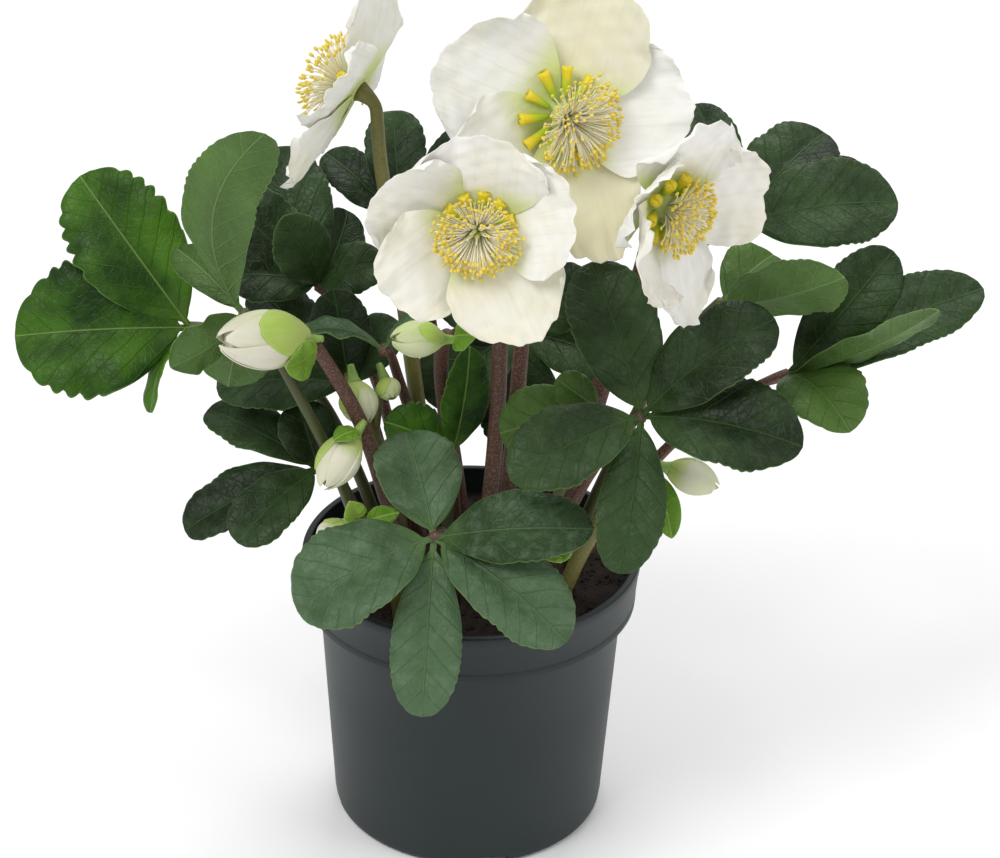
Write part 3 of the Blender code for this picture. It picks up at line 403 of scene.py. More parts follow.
leaves = {
    "leaf_front_low": {
        "look": "grey", "crown": (-6, -25), "hub": (-13, -62, 153), "steer": (-8, -46, 156),
        "leaflets": [
            ((-12, 40, 21), 32, 5, (0.1, -0.7, 1.0), 0.56),
            ((57, -10, 11), 29, 4, (0.0, -0.7, 1.0), 0.56, {"tone": -0.6}),
            ((48, -30, -24), 34, 6, (0.4, -0.8, 1.0), 0.58),
            ((-3, -33, -55), 26, 5, (0.0, -1.0, 0.6), 0.60, {"tone": 0.6}),
            ((-48, -18, -21), 39, 7, (-0.3, -0.8, 1.0), 0.58, {"tone": 0.3}),
        ],
    },
    "leaf_right_centre": {
        "look": "dark", "crown": (27, -22), "hub": (60, -50, 198), "steer": (42, -30, 175),
        "leaflets": [
            ((-19, 30, 46), 33, 5, (0.1, -0.8, 0.8), 0.58),
            ((46, 8, 36), 33, 6, (-0.3, -0.7, 1.0), 0.60, {"tone": -0.3}),
            ((56, -20, 0), 37, 6, (0.2, -0.7, 1.0), 0.56, {"tone": 0.0}),
            ((-7, -32, -46), 25, 5, (0.2, -1.0, 0.6), 0.60, {"tone": 1.0}),
            ((-46, -25, -13), 32, 5, (-0.2, -0.7, 1.0), 0.58, {"tone": 0.5}),
        ],
    },
    "leaf_far_left": {
        "look": "bright", "crown": (-34, 12), "hub": (-106, 8, 200), "steer": (-60, 18, 200),
        "leaflets": [
            ((-42, 24, 50), 42, 5, (-0.2, -0.8, 0.8), 0.58, {"teeth": 0.13, "spacing": 6.0}),
            ((-65, -4, -3), 53, 5, (-0.05, -0.95, 0.75), 0.56, {"teeth": 0.12, "spacing": 6.5}),
            ((-12, -30, -20), 15, 4, (-0.9, -0.2, 0.6), 0.60),
            ((-34, 42, 10), 28, 4, (0.0, -0.4, 1.0), 0.62),
        ],
    },
    "leaf_left_pale": {
        "look": "pale", "crown": (-33, -25), "hub": (-83, -28, 225), "steer": (-62, -30, 205),
        "leaflets": [
            ((10, -8, 73), 31, -6, (0.5, 0.9, 0.2), 0.62, {"sweep": -13}),
            ((-25, -16, -14), 27, -3, (0.5, 0.9, 0.6), 0.55),
            ((-6, 2, -31), 26, -3, (0.1, 1.0, 0.2), 0.58),
            ((-26, 26, 12), 16, 3, (0.2, -0.8, 0.8), 0.60),
        ],
    },
    "leaf_left_low": {
        "look": "dark", "crown": (-37, -9), "hub": (-58, -10, 151), "steer": (-44, -10, 150),
        "leaflets": [
            ((-43, 20, 13), 22, 4, (0.0, -0.4, 1.0), 0.62),
            ((-49, -14, -20), 25, 5, (-0.3, -0.6, 1.0), 0.62),
            ((-28, -30, -15), 24, 4, (-0.1, -0.7, 1.0), 0.62),
            ((-8, 8, 24), 22, 3, (0.2, -0.9, 0.6), 0.60),
        ],
    },
    "leaf_left_mid": {
        "look": "dark", "crown": (-26, 6), "hub": (-47, 8, 177), "steer": (-36, 10, 165),
        "leaflets": [
            ((-49, -10, 3), 27, 5, (0.0, -0.6, 1.0), 0.60),
            ((-38, 32, 24), 24, 5, (0.0, -0.6, 1.0), 0.62),
            ((16, 14, 22), 20, 4, (0.0, -0.7, 0.8), 0.60),
            ((-6, 5, 38), 23, 4, (0.1, -0.9, 0.4), 0.60),
        ],
    },
    "leaf_back_left": {
        "look": "dark", "crown": (-22, 22), "hub": (-60, 34, 206), "steer": (-40, 30, 190),
        "leaflets": [
            ((-22, 34, 40), 35, 5, (-0.1, -0.6, 1.0), 0.62),
            ((-36, 10, 30), 31, 4, (-0.2, -0.8, 0.9), 0.60),
            ((-12, -12, 34), 23, 3, (0.3, -1.0, 0.5), 0.58),
            ((10, 20, 22), 20, 4, (0.6, -0.4, 0.8), 0.60),
            ((26, -6, 12), 21, 4, (0.2, -0.7, 0.9), 0.60),
            ((-34, -10, 8), 25, 4, (-0.2, -0.7, 0.9), 0.60),
        ],
    },
    "leaf_back_centre": {
        "look": "dark", "crown": (12, 42), "hub": (16, 54, 178), "steer": (12, 58, 150),
        "leaflets": [
            ((-31, -14, 20), 25, 4, (0.0, -0.8, 0.9), 0.60),
            ((28, -4, 26), 27, 4, (0.1, -0.8, 0.9), 0.60),
            ((44, -8, -12), 29, 5, (0.2, -0.8, 0.9), 0.58),
            ((2, -14, -46), 33, 4, (0.1, -0.9, 0.6), 0.60),
            ((-34, -26, -18), 32, 5, (-0.2, -0.8, 0.8), 0.60),
        ],
    },
    "leaf_back_mid": {
        "look": "dark", "crown": (-4, 32), "hub": (-30, 58, 222), "steer": (-16, 48, 200),
        "leaflets": [
            ((-4, 28, 34), 24, 4, (0.0, -0.8, 0.9), 0.62),
            ((24, 16, 34), 13, 3, (0.4, -0.7, 0.8), 0.60),
            ((24, 0, 27), 11, 3, (0.4, -0.7, 0.8), 0.60),
            ((-30, 22, 18), 20, 4, (-0.2, -0.5, 1.0), 0.60),
        ],
    },
    "leaf_back_right": {
        "look": "dark", "crown": (22, 26), "hub": (98, 42, 232), "steer": (60, 36, 215),
        "leaflets": [
            ((-16, 38, 32), 22, 4, (0.1, -0.7, 0.9), 0.60),
            ((34, 36, 22), 33, 5, (-0.1, -0.7, 1.0), 0.58),
            ((60, 4, 8), 37, 6, (0.0, -0.8, 0.9), 0.55),
            ((50, 49.4, 4), 18, 3, (0.0, -0.7, 1.0), 0.60),
        ],
    },
    "leaf_right_pale": {
        "look": "pale", "crown": (38, 4), "hub": (89, -14, 226), "steer": (66, -4, 205),
        "leaflets": [
            ((40, -28, 25), 30, -3, (0.1, 1.0, 0.35), 0.58),
            ((40, 18, -2), 22, 3, (0.1, -0.7, 1.0), 0.60),
            ((20, 24, 8), 24, 3, (0.0, -0.6, 1.0), 0.60),
        ],
    },
    "leaf_right_low": {
        "look": "dark", "crown": (36, -14), "hub": (116, -4, 192), "steer": (74, -10, 182),
        "leaflets": [
            ((37, 16, 44), 27, 4, (0.3, -0.8, 0.8), 0.60),
            ((70, 6, 34), 31, 5, (0.0, -0.6, 1.0), 0.58),
            ((48, -32, 44), 20, -3, (-0.3, 1.0, 0.5), 0.58, {"slot": 2}),
            ((20, -36, -4), 33, 6, (0.2, -0.7, 1.0), 0.55, {"slot": 2, "tone": 0.4}),
        ],
    },
    "leaf_centre": {
        "look": "bright", "crown": (-8, -8), "hub": (-8, -7, 157), "steer": (-9, -6, 140),
        "leaflets": [
            ((-25, -9, 18), 23, 4, (0.0, -0.8, 0.9), 0.58, {"teeth": 0.14}),
            ((6, 5, 43), 19, 3, (0.4, -0.9, 0.2), 0.55),
        ],
    },
    "leaf_centre_right": {
        "look": "pale", "crown": (13, -31), "hub": (46, -30, 190), "steer": (34, -34, 166),
        "leaflets": [
            ((-36, -2, -10), 27, 4, (-0.1, -0.9, 0.7), 0.58),
            ((-16, 4, 10), 14, 2, (-0.3, -0.8, 0.6), 0.60),
        ],
    },
    "leaf_left_high": {
        "look": "grey", "crown": (-13, 3), "hub": (-33, -16, 205), "steer": (-28, 17, 190),
        "leaflets": [
            ((-34, -4, 6), 22, 5, (0.0, 0.2, 1.0), 0.58),
            ((20, 3, 16), 14, 3, (0.0, 0.1, 1.0), 0.58),
        ],
    },
    "leaf_young": {
        "look": "young", "crown": (18, -34), "hub": (36, -52, 146), "steer": (26, -46, 140),
        "leaflets": [
            ((-6, -6, 17), 10, 2, (0.3, -1.0, 0.4), 0.58),
            ((5, -4, 16), 9, 2, (-0.3, -1.0, 0.4), 0.58),
            ((-10, -14, 3), 11, 2, (0.0, -0.8, 0.6), 0.58),
        ],
    },
}
leafShape = {
    "rows": 84, "columns": 18, "thickness": 0.55,
    "stalkShare": 0.06, "footHalf": 1.25, "tipHalf": 0.05,  # its own short stalk, and half widths in mm
    "toothFrom": 0.42, "toothSpacing": 3.6, "toothDepth": 0.05,
    "gutter": 0.34, "levelling": 0.20,  # both halves rise from the midrib, then level out
    "wave": 0.05, "quilting": 0.8,      # waves of the margin, and swelling between the side veins in mm
    "ribDepth": 0.7, "ribWidth": 0.9,
}
leafStalk = {"shares": (0, 0.15, 0.9, 1), "radii": (2.7, 2.4, 1.7, 2.5), "sides": 12, "wander": 0.8}


def addLeaflet(growth, hub, leaflet, slot, seed):
    reach, width, arch, facing, widest = leaflet[:5]
    own = leaflet[5] if len(leaflet) > 5 else {}
    shape = leafShape
    hub, reach = np.asarray(hub, float), np.asarray(reach, float)
    length = float(np.linalg.norm(reach))
    along = reach / length
    upper = across(facing, along)
    sideways = np.cross(upper, along)
    share = np.linspace(0, 1, shape["rows"] + 1)
    grown = np.clip((share - shape["stalkShare"]) / (1 - shape["stalkShare"]), 0, 1)
    least = np.where(share < 0.5, shape["footHalf"], shape["tipHalf"])
    half = np.maximum(0.5 * width * outline(grown, widest), least)
    # forward-pointing teeth on the outer part of both margins
    teethFrom = np.clip((share - shape["toothFrom"]) / 0.2, 0, 1)
    uneven = share + 0.02 * np.sin(13 * share + seed)
    toothPhase = (uneven * length / own.get("spacing", shape["toothSpacing"]) + 0.37 * seed) % 1.0
    depth = own.get("teeth", shape["toothDepth"]) * min(1.0, length / 40)
    teeth = 1 - depth * teethFrom * (1 - np.sin(math.pi * toothPhase ** 1.6) ** 0.6)
    columns = np.linspace(-1, 1, shape["columns"] + 1)
    columns = np.sign(columns) * np.abs(columns) ** 0.85
    margin = 1 + (teeth[:, None] - 1) * np.abs(columns)[None] ** 3
    # the midrib bows up and sideways, and the blade stands across it
    bow = 4 * share * (1 - share)
    centre = hub + along * (length * share)[:, None]
    centre = centre + upper * (arch * bow)[:, None] + sideways * (own.get("sweep", 0.0) * bow)[:, None]
    slope = along * length + upper * (arch * 4 * (1 - 2 * share))[:, None]
    slope = slope / np.linalg.norm(slope, axis=1)[:, None]
    normal = upper - slope * (slope @ upper)[:, None]
    normal = normal / np.linalg.norm(normal, axis=1)[:, None]
    # each half rises from the midrib, and the margins wave
    x = half[:, None] * columns[None] * margin
    away = np.abs(columns)[None]
    lift = half[:, None] * (shape["gutter"] * away - shape["levelling"] * away ** 3)
    phase = seed * 1.9
    wave = np.sin(share * 10.0 + phase)[:, None] * np.where(columns > 0, 1.0, -0.8)[None]
    wave = wave + 0.5 * np.sin(share * 23.0 + 2 * phase)[:, None]
    lift = lift + shape["wave"] * width * wave * away ** 2 * np.sin(math.pi * share ** 1.3)[:, None]
    # the blade swells between its side veins
    veinPhase = (share[:, None] * length - veinSlant * np.abs(x)) / veinSpacing
    swell = np.sin(math.pi * (veinPhase % 1.0)) ** 0.7 * away * (1 - away ** 4)
    lift = lift + shape["quilting"] * swell * np.sin(math.pi * share)[:, None]
    points = centre[:, None] + sideways * x[:, :, None] + normal[:, None] * lift[:, :, None]
    halfThickness = shape["thickness"] / 2 * (1 - 0.45 * away ** 4)
    rib = shape["ribDepth"] * np.exp(-(x / shape["ribWidth"]) ** 2) * (1 - 0.7 * share[:, None])
    upperGrid = points + normal[:, None] * halfThickness[:, :, None]
    lowerGrid = points - normal[:, None] * (halfThickness + rib)[:, :, None]
    upwards = np.broadcast_to((share * length / 100)[:, None], x.shape)
    uv = np.stack([x / 100 + 0.5, upwards + 0.31 * seed], axis=2)  # one unit is 100 mm
    tipEdge = np.clip((share - 0.9) / 0.1, 0, 1)[:, None]
    edge = np.maximum(away * np.where(share > 0.06, 1.0, 0.0)[:, None], tipEdge)
    part = np.broadcast_to(share[:, None], x.shape)
    # tone paints shade and light on the leaflet; where no tone is given it varies at random
    addSheet(growth, upperGrid, lowerGrid, own.get("slot", slot), uv, edge, part,
             own.get("tone", 0.3 * math.sin(2.7 * seed)))


def makeLeaf(name, plan, number):
    growth = Growth(name + "_blades")
    hub = np.asarray(plan["hub"], float)
    path = wandering(stemPath(plan["crown"], plan["steer"], hub), leafStalk["wander"], number)
    radii = graded(len(path), leafStalk["shares"], leafStalk["radii"])
    knob = path[-1] + unit(path[-1] - path[-2]) * 1.6
    addStalk(growth, np.vstack([path, knob]), np.append(radii, 0.6), leafStalk["sides"], 1)
    for index, leaflet in enumerate(plan["leaflets"]):
        addLeaflet(growth, hub, leaflet, 0, number * 7 + index + 1)
    fresh = plan["look"] in ("bright", "pale", "young")
    stalkSkin = stemSkins["petiole" if fresh else "brown"]
    piece = growth.finish([leafSkins[plan["look"]], stalkSkin, leafSkins["pale"]])
    settle(piece, name)


for number, (name, plan) in enumerate(leaves.items()):
    makeLeaf(name, plan, number)
print("leaves grown:", len(leaves))


# whorls: one small piece repeated round an axis, by Geometry Nodes

whorlSpread = 0.6  # below 1 the copies crowd towards the outer ring


def newTree(name, inputs):
    # a Geometry Nodes tree, the keys of its inputs, and the sockets that they come in by
    tree = bpy.data.node_groups.new(name, "GeometryNodeTree")
    keys = {}
    for label, kind in inputs.items():
        socket = tree.interface.new_socket(label, in_out="INPUT", socket_type="NodeSocket" + kind)
        keys[label] = socket.identifier
    tree.interface.new_socket("Geometry", in_out="OUTPUT", socket_type="NodeSocketGeometry")
    g = Graph(tree)
    return g, keys, g.node("NodeGroupInput").outputs


def copiesOn(g, points, piece, euler, size):
    source = g.node("GeometryNodeObjectInfo", {"Object": piece})
    return g.node("GeometryNodeInstanceOnPoints",
                  {"Points": points, "Instance": source.outputs["Geometry"], "Scale": size.outputs[1],
                   "Rotation": g.node("FunctionNodeEulerToRotation", {0: euler})})


def closeTree(g, given, grown):
    real = g.node("GeometryNodeRealizeInstances", {0: grown})
    coloured = g.node("GeometryNodeSetMaterial", {"Geometry": real, "Material": given["Material"]})
    g.node("NodeGroupOutput", {0: coloured})


def whorlTree():
    # points on a spiral disc, one leaning copy of the piece on each
    kinds = {"Piece": "Object", "Count": "Int", "Seed": "Int", "Material": "Material"}
    for name in ("Inner Radius", "Outer Radius", "Inner Lean", "Outer Lean", "Lean Jitter", "Size Jitter",
                 "Turn"):
        kinds[name] = "Float"
    g, keys, given = newTree("whorl", kinds)
    index = g.node("GeometryNodeInputIndex")
    share = g.math("POWER", g.math("DIVIDE", index, given["Count"]), whorlSpread)
    angle = g.math("MULTIPLY", index, given["Turn"])
    radius = g.ramp(share, 0.0, 1.0, given["Inner Radius"], given["Outer Radius"])
    x, y = (g.math("MULTIPLY", g.math(way, angle), radius) for way in ("COSINE", "SINE"))
    points = g.node("GeometryNodeSetPosition",
                    {"Geometry": g.node("GeometryNodePoints", {"Count": given["Count"]}),
                     "Position": g.node("ShaderNodeCombineXYZ", {0: x, 1: y})})
    lower = g.math("MULTIPLY", given["Lean Jitter"], -1.0)
    jitter = g.node("FunctionNodeRandomValue", {2: lower, 3: given["Lean Jitter"], "Seed": given["Seed"]})
    lean = g.ramp(share, 0.0, 1.0, given["Inner Lean"], given["Outer Lean"])
    euler = g.node("ShaderNodeCombineXYZ", {1: g.math("ADD", lean, jitter.outputs[1]), 2: angle})
    size = g.node("FunctionNodeRandomValue", {2: g.math("SUBTRACT", 1.0, given["Size Jitter"]), 3: 1.0,
                                              "Seed": g.math("ADD", given["Seed"], 11.0)})
    closeTree(g, given, copiesOn(g, points, given["Piece"], euler, size))
    return g.tree, keys


whorl, whorlSockets = whorlTree()


def grownObject(name, tree, sockets, settings, base=None):
    # evaluates the tree once and keeps its result as a plain mesh
    mesh = base or bpy.data.meshes.new(name)
    holder = bpy.data.objects.new(name + "_maker", mesh)
    bpy.context.scene.collection.objects.link(holder)
    modifier = holder.modifiers.new("grow", "NODES")
    modifier.node_group = tree
    for key, value in settings.items():
        modifier[sockets[key]] = value
    result = bpy.data.meshes.new_from_object(holder.evaluated_get(bpy.context.evaluated_depsgraph_get()))
    bpy.data.objects.remove(holder)
    piece = bpy.data.objects.new(name, result)
    bpy.context.scene.collection.objects.link(piece)
    result.shade_smooth()
    return piece


def patternPiece(name, build):
    # what a tree copies, removed again once the copies are made
    growth = Growth(name)
    build(growth)
    piece = growth.finish([])
    piece.hide_render = True
    return piece


def ellipsoid(growth, centre, sizes, sides, rings, part):
    # closed little body, in millimetres
    centre = np.asarray(centre, float)
    rows = np.linspace(0.12, math.pi - 0.12, rings)[:, None]
    turns = 2 * math.pi * np.arange(sides)[None] / sides
    grid = np.stack([np.sin(rows) * np.cos(turns) * sizes[0], np.sin(rows) * np.sin(turns) * sizes[1],
                     -np.cos(rows) * sizes[2] * np.ones_like(turns)], axis=2) + centre
    faces = gridFaces(rings, sides, closed=True)
    faces += [tuple(range(sides - 1, -1, -1)), tuple(range((rings - 1) * sides, rings * sides))]
    growth.add(grid, faces, 0, part=part)


def stamenPattern(length):
    def build(growth):
        path = bend((0, 0, 0), (-0.10 * length, 0, 0.62 * length), (0.10 * length, 0, length), 6)
        addStalk(growth, path, np.linspace(0.36, 0.26, 6), 4, 0, part=np.linspace(0, 0.3, 6))
        ellipsoid(growth, path[-1] + (0.2, 0.0, 0.3), (0.60, 0.85, 1.15), 6, 4, 1.0)
    return build


def nectaryPattern(length):
    # a curved trumpet with a rolled mouth that is open a little way inside
    def build(growth):
        path = bend((0, 0, 0), (-0.08 * length, 0, 0.54 * length), (0.08 * length, 0, length), 8)
        radii = graded(8, (0, 0.2, 0.7, 1), (0.9, 1.4, 1.9, 2.4))
        inside = np.vstack([path, 0.55 * path[-1] + 0.45 * path[-2]])
        inner = np.append(radii, radii[-2] * 0.75)
        addStalk(growth, inside, inner, 9, 0, part=np.append(np.linspace(0, 1, 8), 0.8))
    return build


def carpelPattern(growth):
    # a swollen ovary that tapers into its style
    path = bend((0, 0, 0), (0.0, 0, 5.5), (1.6, 0, 10.5), 10)
    radii = graded(10, (0, 0.25, 0.55, 0.7, 1), (0.75, 1.0, 0.9, 0.42, 0.3))
    addStalk(growth, path, radii, 8, 0, part=np.linspace(0, 1, 10))


# blooms: a sepal is its turn from the top to the viewer's left, opening from the axis, length, width and cup,
# lean is that of the inner and outer stamens, droop turns their bunch off the axis, and the cream table tints
# a sepal: partly its real cream, partly painted shade on the lower sepals

blooms = {
    "bloom_high": {
        "crown": (12, -8), "centre": (29, -4, 294), "axis": (0.28, -0.90, 0.34), "steer": (18, 22, 250),
        "stem": "brown", "stamens": 190, "stamenLength": 17.0, "lean": (12, 60), "nectaries": 11,
        "nectaryLength": 12.5, "droop": (0.40, 0.0, -0.38), "creamAndShade": {1: 0.6, 3: 0.9, 4: 0.15},
        "sepals": [
            (62, 84, 47, 53, 5), (-20, 88, 44.5, 50, 4), (-90, 84, 44, 48, 5),
            (-170, 80, 51, 42, 6), (118, 80, 45, 45, 6),
        ],
    },
    "bloom_front": {
        "crown": (3, -20), "centre": (1, -66, 279), "axis": (0.0, -0.97, 0.22), "steer": (18, 4, 262),
        "stem": "brown", "stamens": 180, "stamenLength": 13.5, "lean": (12, 56), "nectaries": 11,
        "nectaryLength": 8.2, "droop": (-0.04, 0.0, -0.22), "creamAndShade": {1: 0.15, 2: 0.3, 3: 0.3},
        "sepals": [
            (0, 66, 32, 47, 6), (75, 72, 36, 40, 6), (126, 70, 37, 38, 6),
            (-152, 72, 40, 41, 6), (-74, 66, 34, 42, 6),
        ],
    },
    "bloom_right": {
        "crown": (27, -12), "centre": (63, -50, 281), "axis": (0.66, -0.74, -0.02), "steer": (72, 14, 262),
        "stem": "brown", "stamens": 150, "stamenLength": 14.0, "lean": (8, 50), "nectaries": 10,
        "nectaryLength": 9.5, "droop": (0.16, 0.14, -0.14), "creamAndShade": {3: 0.2},
        "sepals": [
            (-10, 64, 36, 40, 6), (-80, 62, 36, 39, 6), (60, 62, 34, 36, 7),
            (124, 52, 37, 40, 7), (178, 64, 40, 37, 6),
        ],
    },
    "bloom_left": {
        "crown": (-12, 14), "centre": (-42.5, 6, 297), "axis": (-0.80, 0.36, 0.36), "steer": (-36, 10, 262),
        "stem": "green", "stamens": 130, "stamenLength": 17.0, "lean": (8, 56), "nectaries": 10,
        "nectaryLength": 9.5, "droop": (-0.1, 0.0, 0.12), "creamAndShade": {},
        "sepals": [
            (5, 80, 42, 33, 4), (-66, 90, 32, 37, 5), (80, 76, 31, 36, 5),
            (146, 74, 44, 36, 5), (-140, 86, 40, 37, 5),
        ],
    },
}
sepalShape = {
    "rows": 44, "columns": 40, "thickness": 0.45, "rootRadius": 3.2,
    "pinwheel": 0.15,  # one side lies over its neighbour, the other side under
    "footWidth": 0.11, "widestFrom": 0.55, "endNarrowing": 0.14, "roundness": 0.36, "foldWidth": 0.11,
    "broadWave": 1.7, "foldDepth": 0.9, "ruffle": 1.0,  # heights in mm
}
bloomStalk = {"shares": (0, 0.3, 0.85, 0.93, 0.97, 1), "radii": (3.2, 3.0, 2.4, 2.3, 3.0, 4.0), "sides": 14,
              "neck": 7.0, "wander": 0.7, "seatRadii": [4.6, 4.2]}
whorlRings = {  # inner and outer radius, and height above the bloom's centre, in mm
    "nectaries": (5.4, 6.2, 2.6), "stamens": (1.7, 3.3, 4.4), "pistil": (0.6, 1.1, 4.8),
}
spiralTurn = 2.39996  # the golden angle, by which the parts of a flower follow each other


def bloomFrame(axis):
    # ahead along the axis, then the top and the right hand of the bloom
    ahead = unit(axis)
    top = across((0.0, 0.0, 1.0), ahead)
    return ahead, top, np.cross(ahead, top)


def addSepal(growth, centre, frameOf, sepal, seed, creamAndShade):
    ahead, top, right = frameOf
    turn, spread, length, width, cup = sepal
    shape = sepalShape
    angle, tilt = math.radians(turn), math.radians(spread)
    outward = top * math.cos(angle) + right * math.sin(angle)
    along = outward * math.sin(tilt) + ahead * math.cos(tilt)
    inner = ahead * math.sin(tilt) - outward * math.cos(tilt)
    sideways = np.cross(along, inner)
    # outline: a narrow foot, widest past the middle, and a rounded end
    rows = np.linspace(0, 1, shape["rows"] + 1)
    share = (1 - (1 - rows) ** 1.2)[:, None]
    offset = np.sin(math.pi / 2 * np.linspace(-1, 1, shape["columns"] + 1))[None]
    opening = np.sin(math.pi / 2 * np.minimum(1, share / shape["widestFrom"])) ** 0.5
    closing = 1 - shape["endNarrowing"] * np.clip((share - 0.6) / 0.4, 0, 1) ** 2
    half = 0.5 * width * np.maximum(shape["footWidth"], opening * closing)
    phase = seed * 2.3
    # broad waves over the blade, folds that run to its foot, ruffles along its sides and its end
    sideShare = np.abs(offset) ** 3 * share
    endShare = np.clip((share - 0.55) / 0.45, 0, 1) ** 2
    broad = shape["broadWave"] * share * np.sin(2.2 * offset + 2.9 * share + phase)
    folds = sum(np.exp(-((offset - place) / shape["foldWidth"]) ** 2)
                for place in (-0.55 + 0.15 * math.sin(phase), 0.04, 0.55 + 0.15 * math.cos(phase)))
    sideRuffle = sideShare * (1.5 * np.sin(10 * share + phase)
                              + 0.7 * np.sin(23 * share + 2 * phase + offset))
    endRuffle = endShare * (1.5 * np.sin(6 * offset + phase) + 0.8 * np.sin(14 * offset + 1.6 * phase)
                            + 0.3 * np.sin(31 * offset))
    crinkle = 0.30 * share * np.sin(29 * share + 13 * offset) * np.sin(23 * offset - 9 * share + phase)
    crinkle = crinkle + (0.35 * share * np.sin(17 * offset + 11 * share + phase)
                         * np.sin(19 * share - 6 * offset))
    lift = cup * (0.9 * offset ** 2 * share - 1.2 * share * (1 - share)) + shape["pinwheel"] * half * offset
    lift = lift + broad + crinkle + shape["ruffle"] * (sideRuffle + endRuffle)
    lift = lift - shape["foldDepth"] * folds * share * (1.2 - share)
    notch = (0.025 * np.sin(5 * offset + phase) + 0.013 * np.sin(13 * offset + 2 * phase)
             + 0.006 * np.sin(29 * offset))
    rounding = 1 - np.sqrt(np.clip(1 - offset ** 2, 0, 1))
    reach = length * share * (1 - shape["roundness"] * rounding * share + notch * share ** 3)
    x = half * offset * (1 + 0.03 * np.sin(15 * share + phase) * share)
    edgeShare = np.maximum(np.abs(offset) ** 2, endShare)
    points = (centre + outward * shape["rootRadius"] + along * reach[:, :, None]
              + sideways * x[:, :, None] + inner * lift[:, :, None])
    thin = shape["thickness"] / 2 * (1 - 0.5 * edgeShare.clip(0, 1))
    uv = np.stack([x / 100 + 0.5, reach / 100 + 0.27 * seed], axis=2)
    part = np.broadcast_to(share, x.shape)
    addSheet(growth, points + inner * thin[:, :, None], points - inner * thin[:, :, None], 0, uv,
             np.broadcast_to(np.abs(offset), x.shape), part, creamAndShade)


def placed(piece, centre, frameOf, height):
    # turns a whorl made along +Z onto the bloom's axis
    ahead, top, right = frameOf
    spot = (np.asarray(centre) + ahead * height) * mm
    turn = Matrix(((right[0], top[0], ahead[0], spot[0]), (right[1], top[1], ahead[1], spot[1]),
                   (right[2], top[2], ahead[2], spot[2]), (0, 0, 0, 1)))
    piece.data.transform(turn)
    return piece


def makeBloom(name, plan, number):
    centre = np.asarray(plan["centre"], float)
    frameOf = bloomFrame(plan["axis"])
    ahead = frameOf[0]
    stalk = bloomStalk
    stem = Growth(name + "_stalk")
    path = stemPath(plan["crown"], plan["steer"], centre - ahead * stalk["neck"], 44)
    path = wandering(path, stalk["wander"], number + 3)
    path = np.vstack([path, centre - ahead * 4.0, centre - ahead * 1.6, centre + ahead * 0.1])
    for _ in range(5):  # the neck bends softly into the bloom
        path[34:-2] = 0.25 * path[33:-3] + 0.5 * path[34:-2] + 0.25 * path[35:-1]
    radii = graded(len(path), stalk["shares"], stalk["radii"])
    addStalk(stem, path, radii, stalk["sides"], 0)
    settle(stem.finish([stemSkins[plan["stem"]]]), name + "_stem")
    petals = Growth(name + "_petals")
    seat = [centre + ahead * 0.3, centre + ahead * 2.0]
    addStalk(petals, seat, stalk["seatRadii"], 20, 0, part=[0.0, 0.0])
    for index, sepal in enumerate(plan["sepals"]):
        # each sepal's cream tint: partly its real colour, partly painted shade
        creamAndShade = plan["creamAndShade"].get(index, 0.0)
        addSepal(petals, centre + ahead * 1.2, frameOf, sepal, number * 5 + index + 1, creamAndShade)
    settle(petals.finish([sepalWhite]), name + "_sepals")
    lowest = math.radians(min(sepal[1] for sepal in plan["sepals"]))
    hanging = bloomFrame(ahead + np.array(plan["droop"]))
    for part, standing, settings in (
        ("nectaries", frameOf, {"Piece": nectaryPieces[name], "Count": plan["nectaries"],
                                "Inner Lean": lowest - 0.14, "Outer Lean": lowest - 0.06,
                                "Lean Jitter": 0.06, "Size Jitter": 0.18,
                                "Turn": 2 * math.pi / plan["nectaries"], "Material": nectaryTissue}),
        ("stamens", hanging, {"Piece": stamenPieces[name], "Count": plan["stamens"],
                              "Inner Lean": math.radians(plan["lean"][0]),
                              "Outer Lean": math.radians(plan["lean"][1]),
                              "Lean Jitter": 0.13, "Size Jitter": 0.20, "Turn": spiralTurn,
                              "Material": stamenTissue}),
        ("pistil", frameOf, {"Piece": carpelPiece, "Count": 6, "Inner Lean": 0.03, "Outer Lean": 0.16,
                             "Lean Jitter": 0.05, "Size Jitter": 0.15, "Turn": spiralTurn,
                             "Material": carpelTissue}),
    ):
        inner, outer, height = whorlRings[part]
        settings.update({"Inner Radius": inner * mm, "Outer Radius": outer * mm, "Seed": number * 10 + 1})
        piece = grownObject(f"{name}_{part}_whorl", whorl, whorlSockets, settings)
        settle(placed(piece, centre, standing, height), f"{name}_{part}")


nectaryPieces = {name: patternPiece("nectaryPattern_" + name, nectaryPattern(plan["nectaryLength"]))
                 for name, plan in blooms.items()}
carpelPiece = patternPiece("carpelPattern", carpelPattern)
stamenPieces = {name: patternPiece("stamenPattern_" + name, stamenPattern(plan["stamenLength"]))
                for name, plan in blooms.items()}
for number, (name, plan) in enumerate(blooms.items()):
    makeBloom(name, plan, number)
for pattern in [carpelPiece, *nectaryPieces.values(), *stamenPieces.values()]:
    bpy.data.objects.remove(pattern)
print("blooms open:", len(blooms))


# buds: foot, tip, width; bracts: foot, tip, width, facing

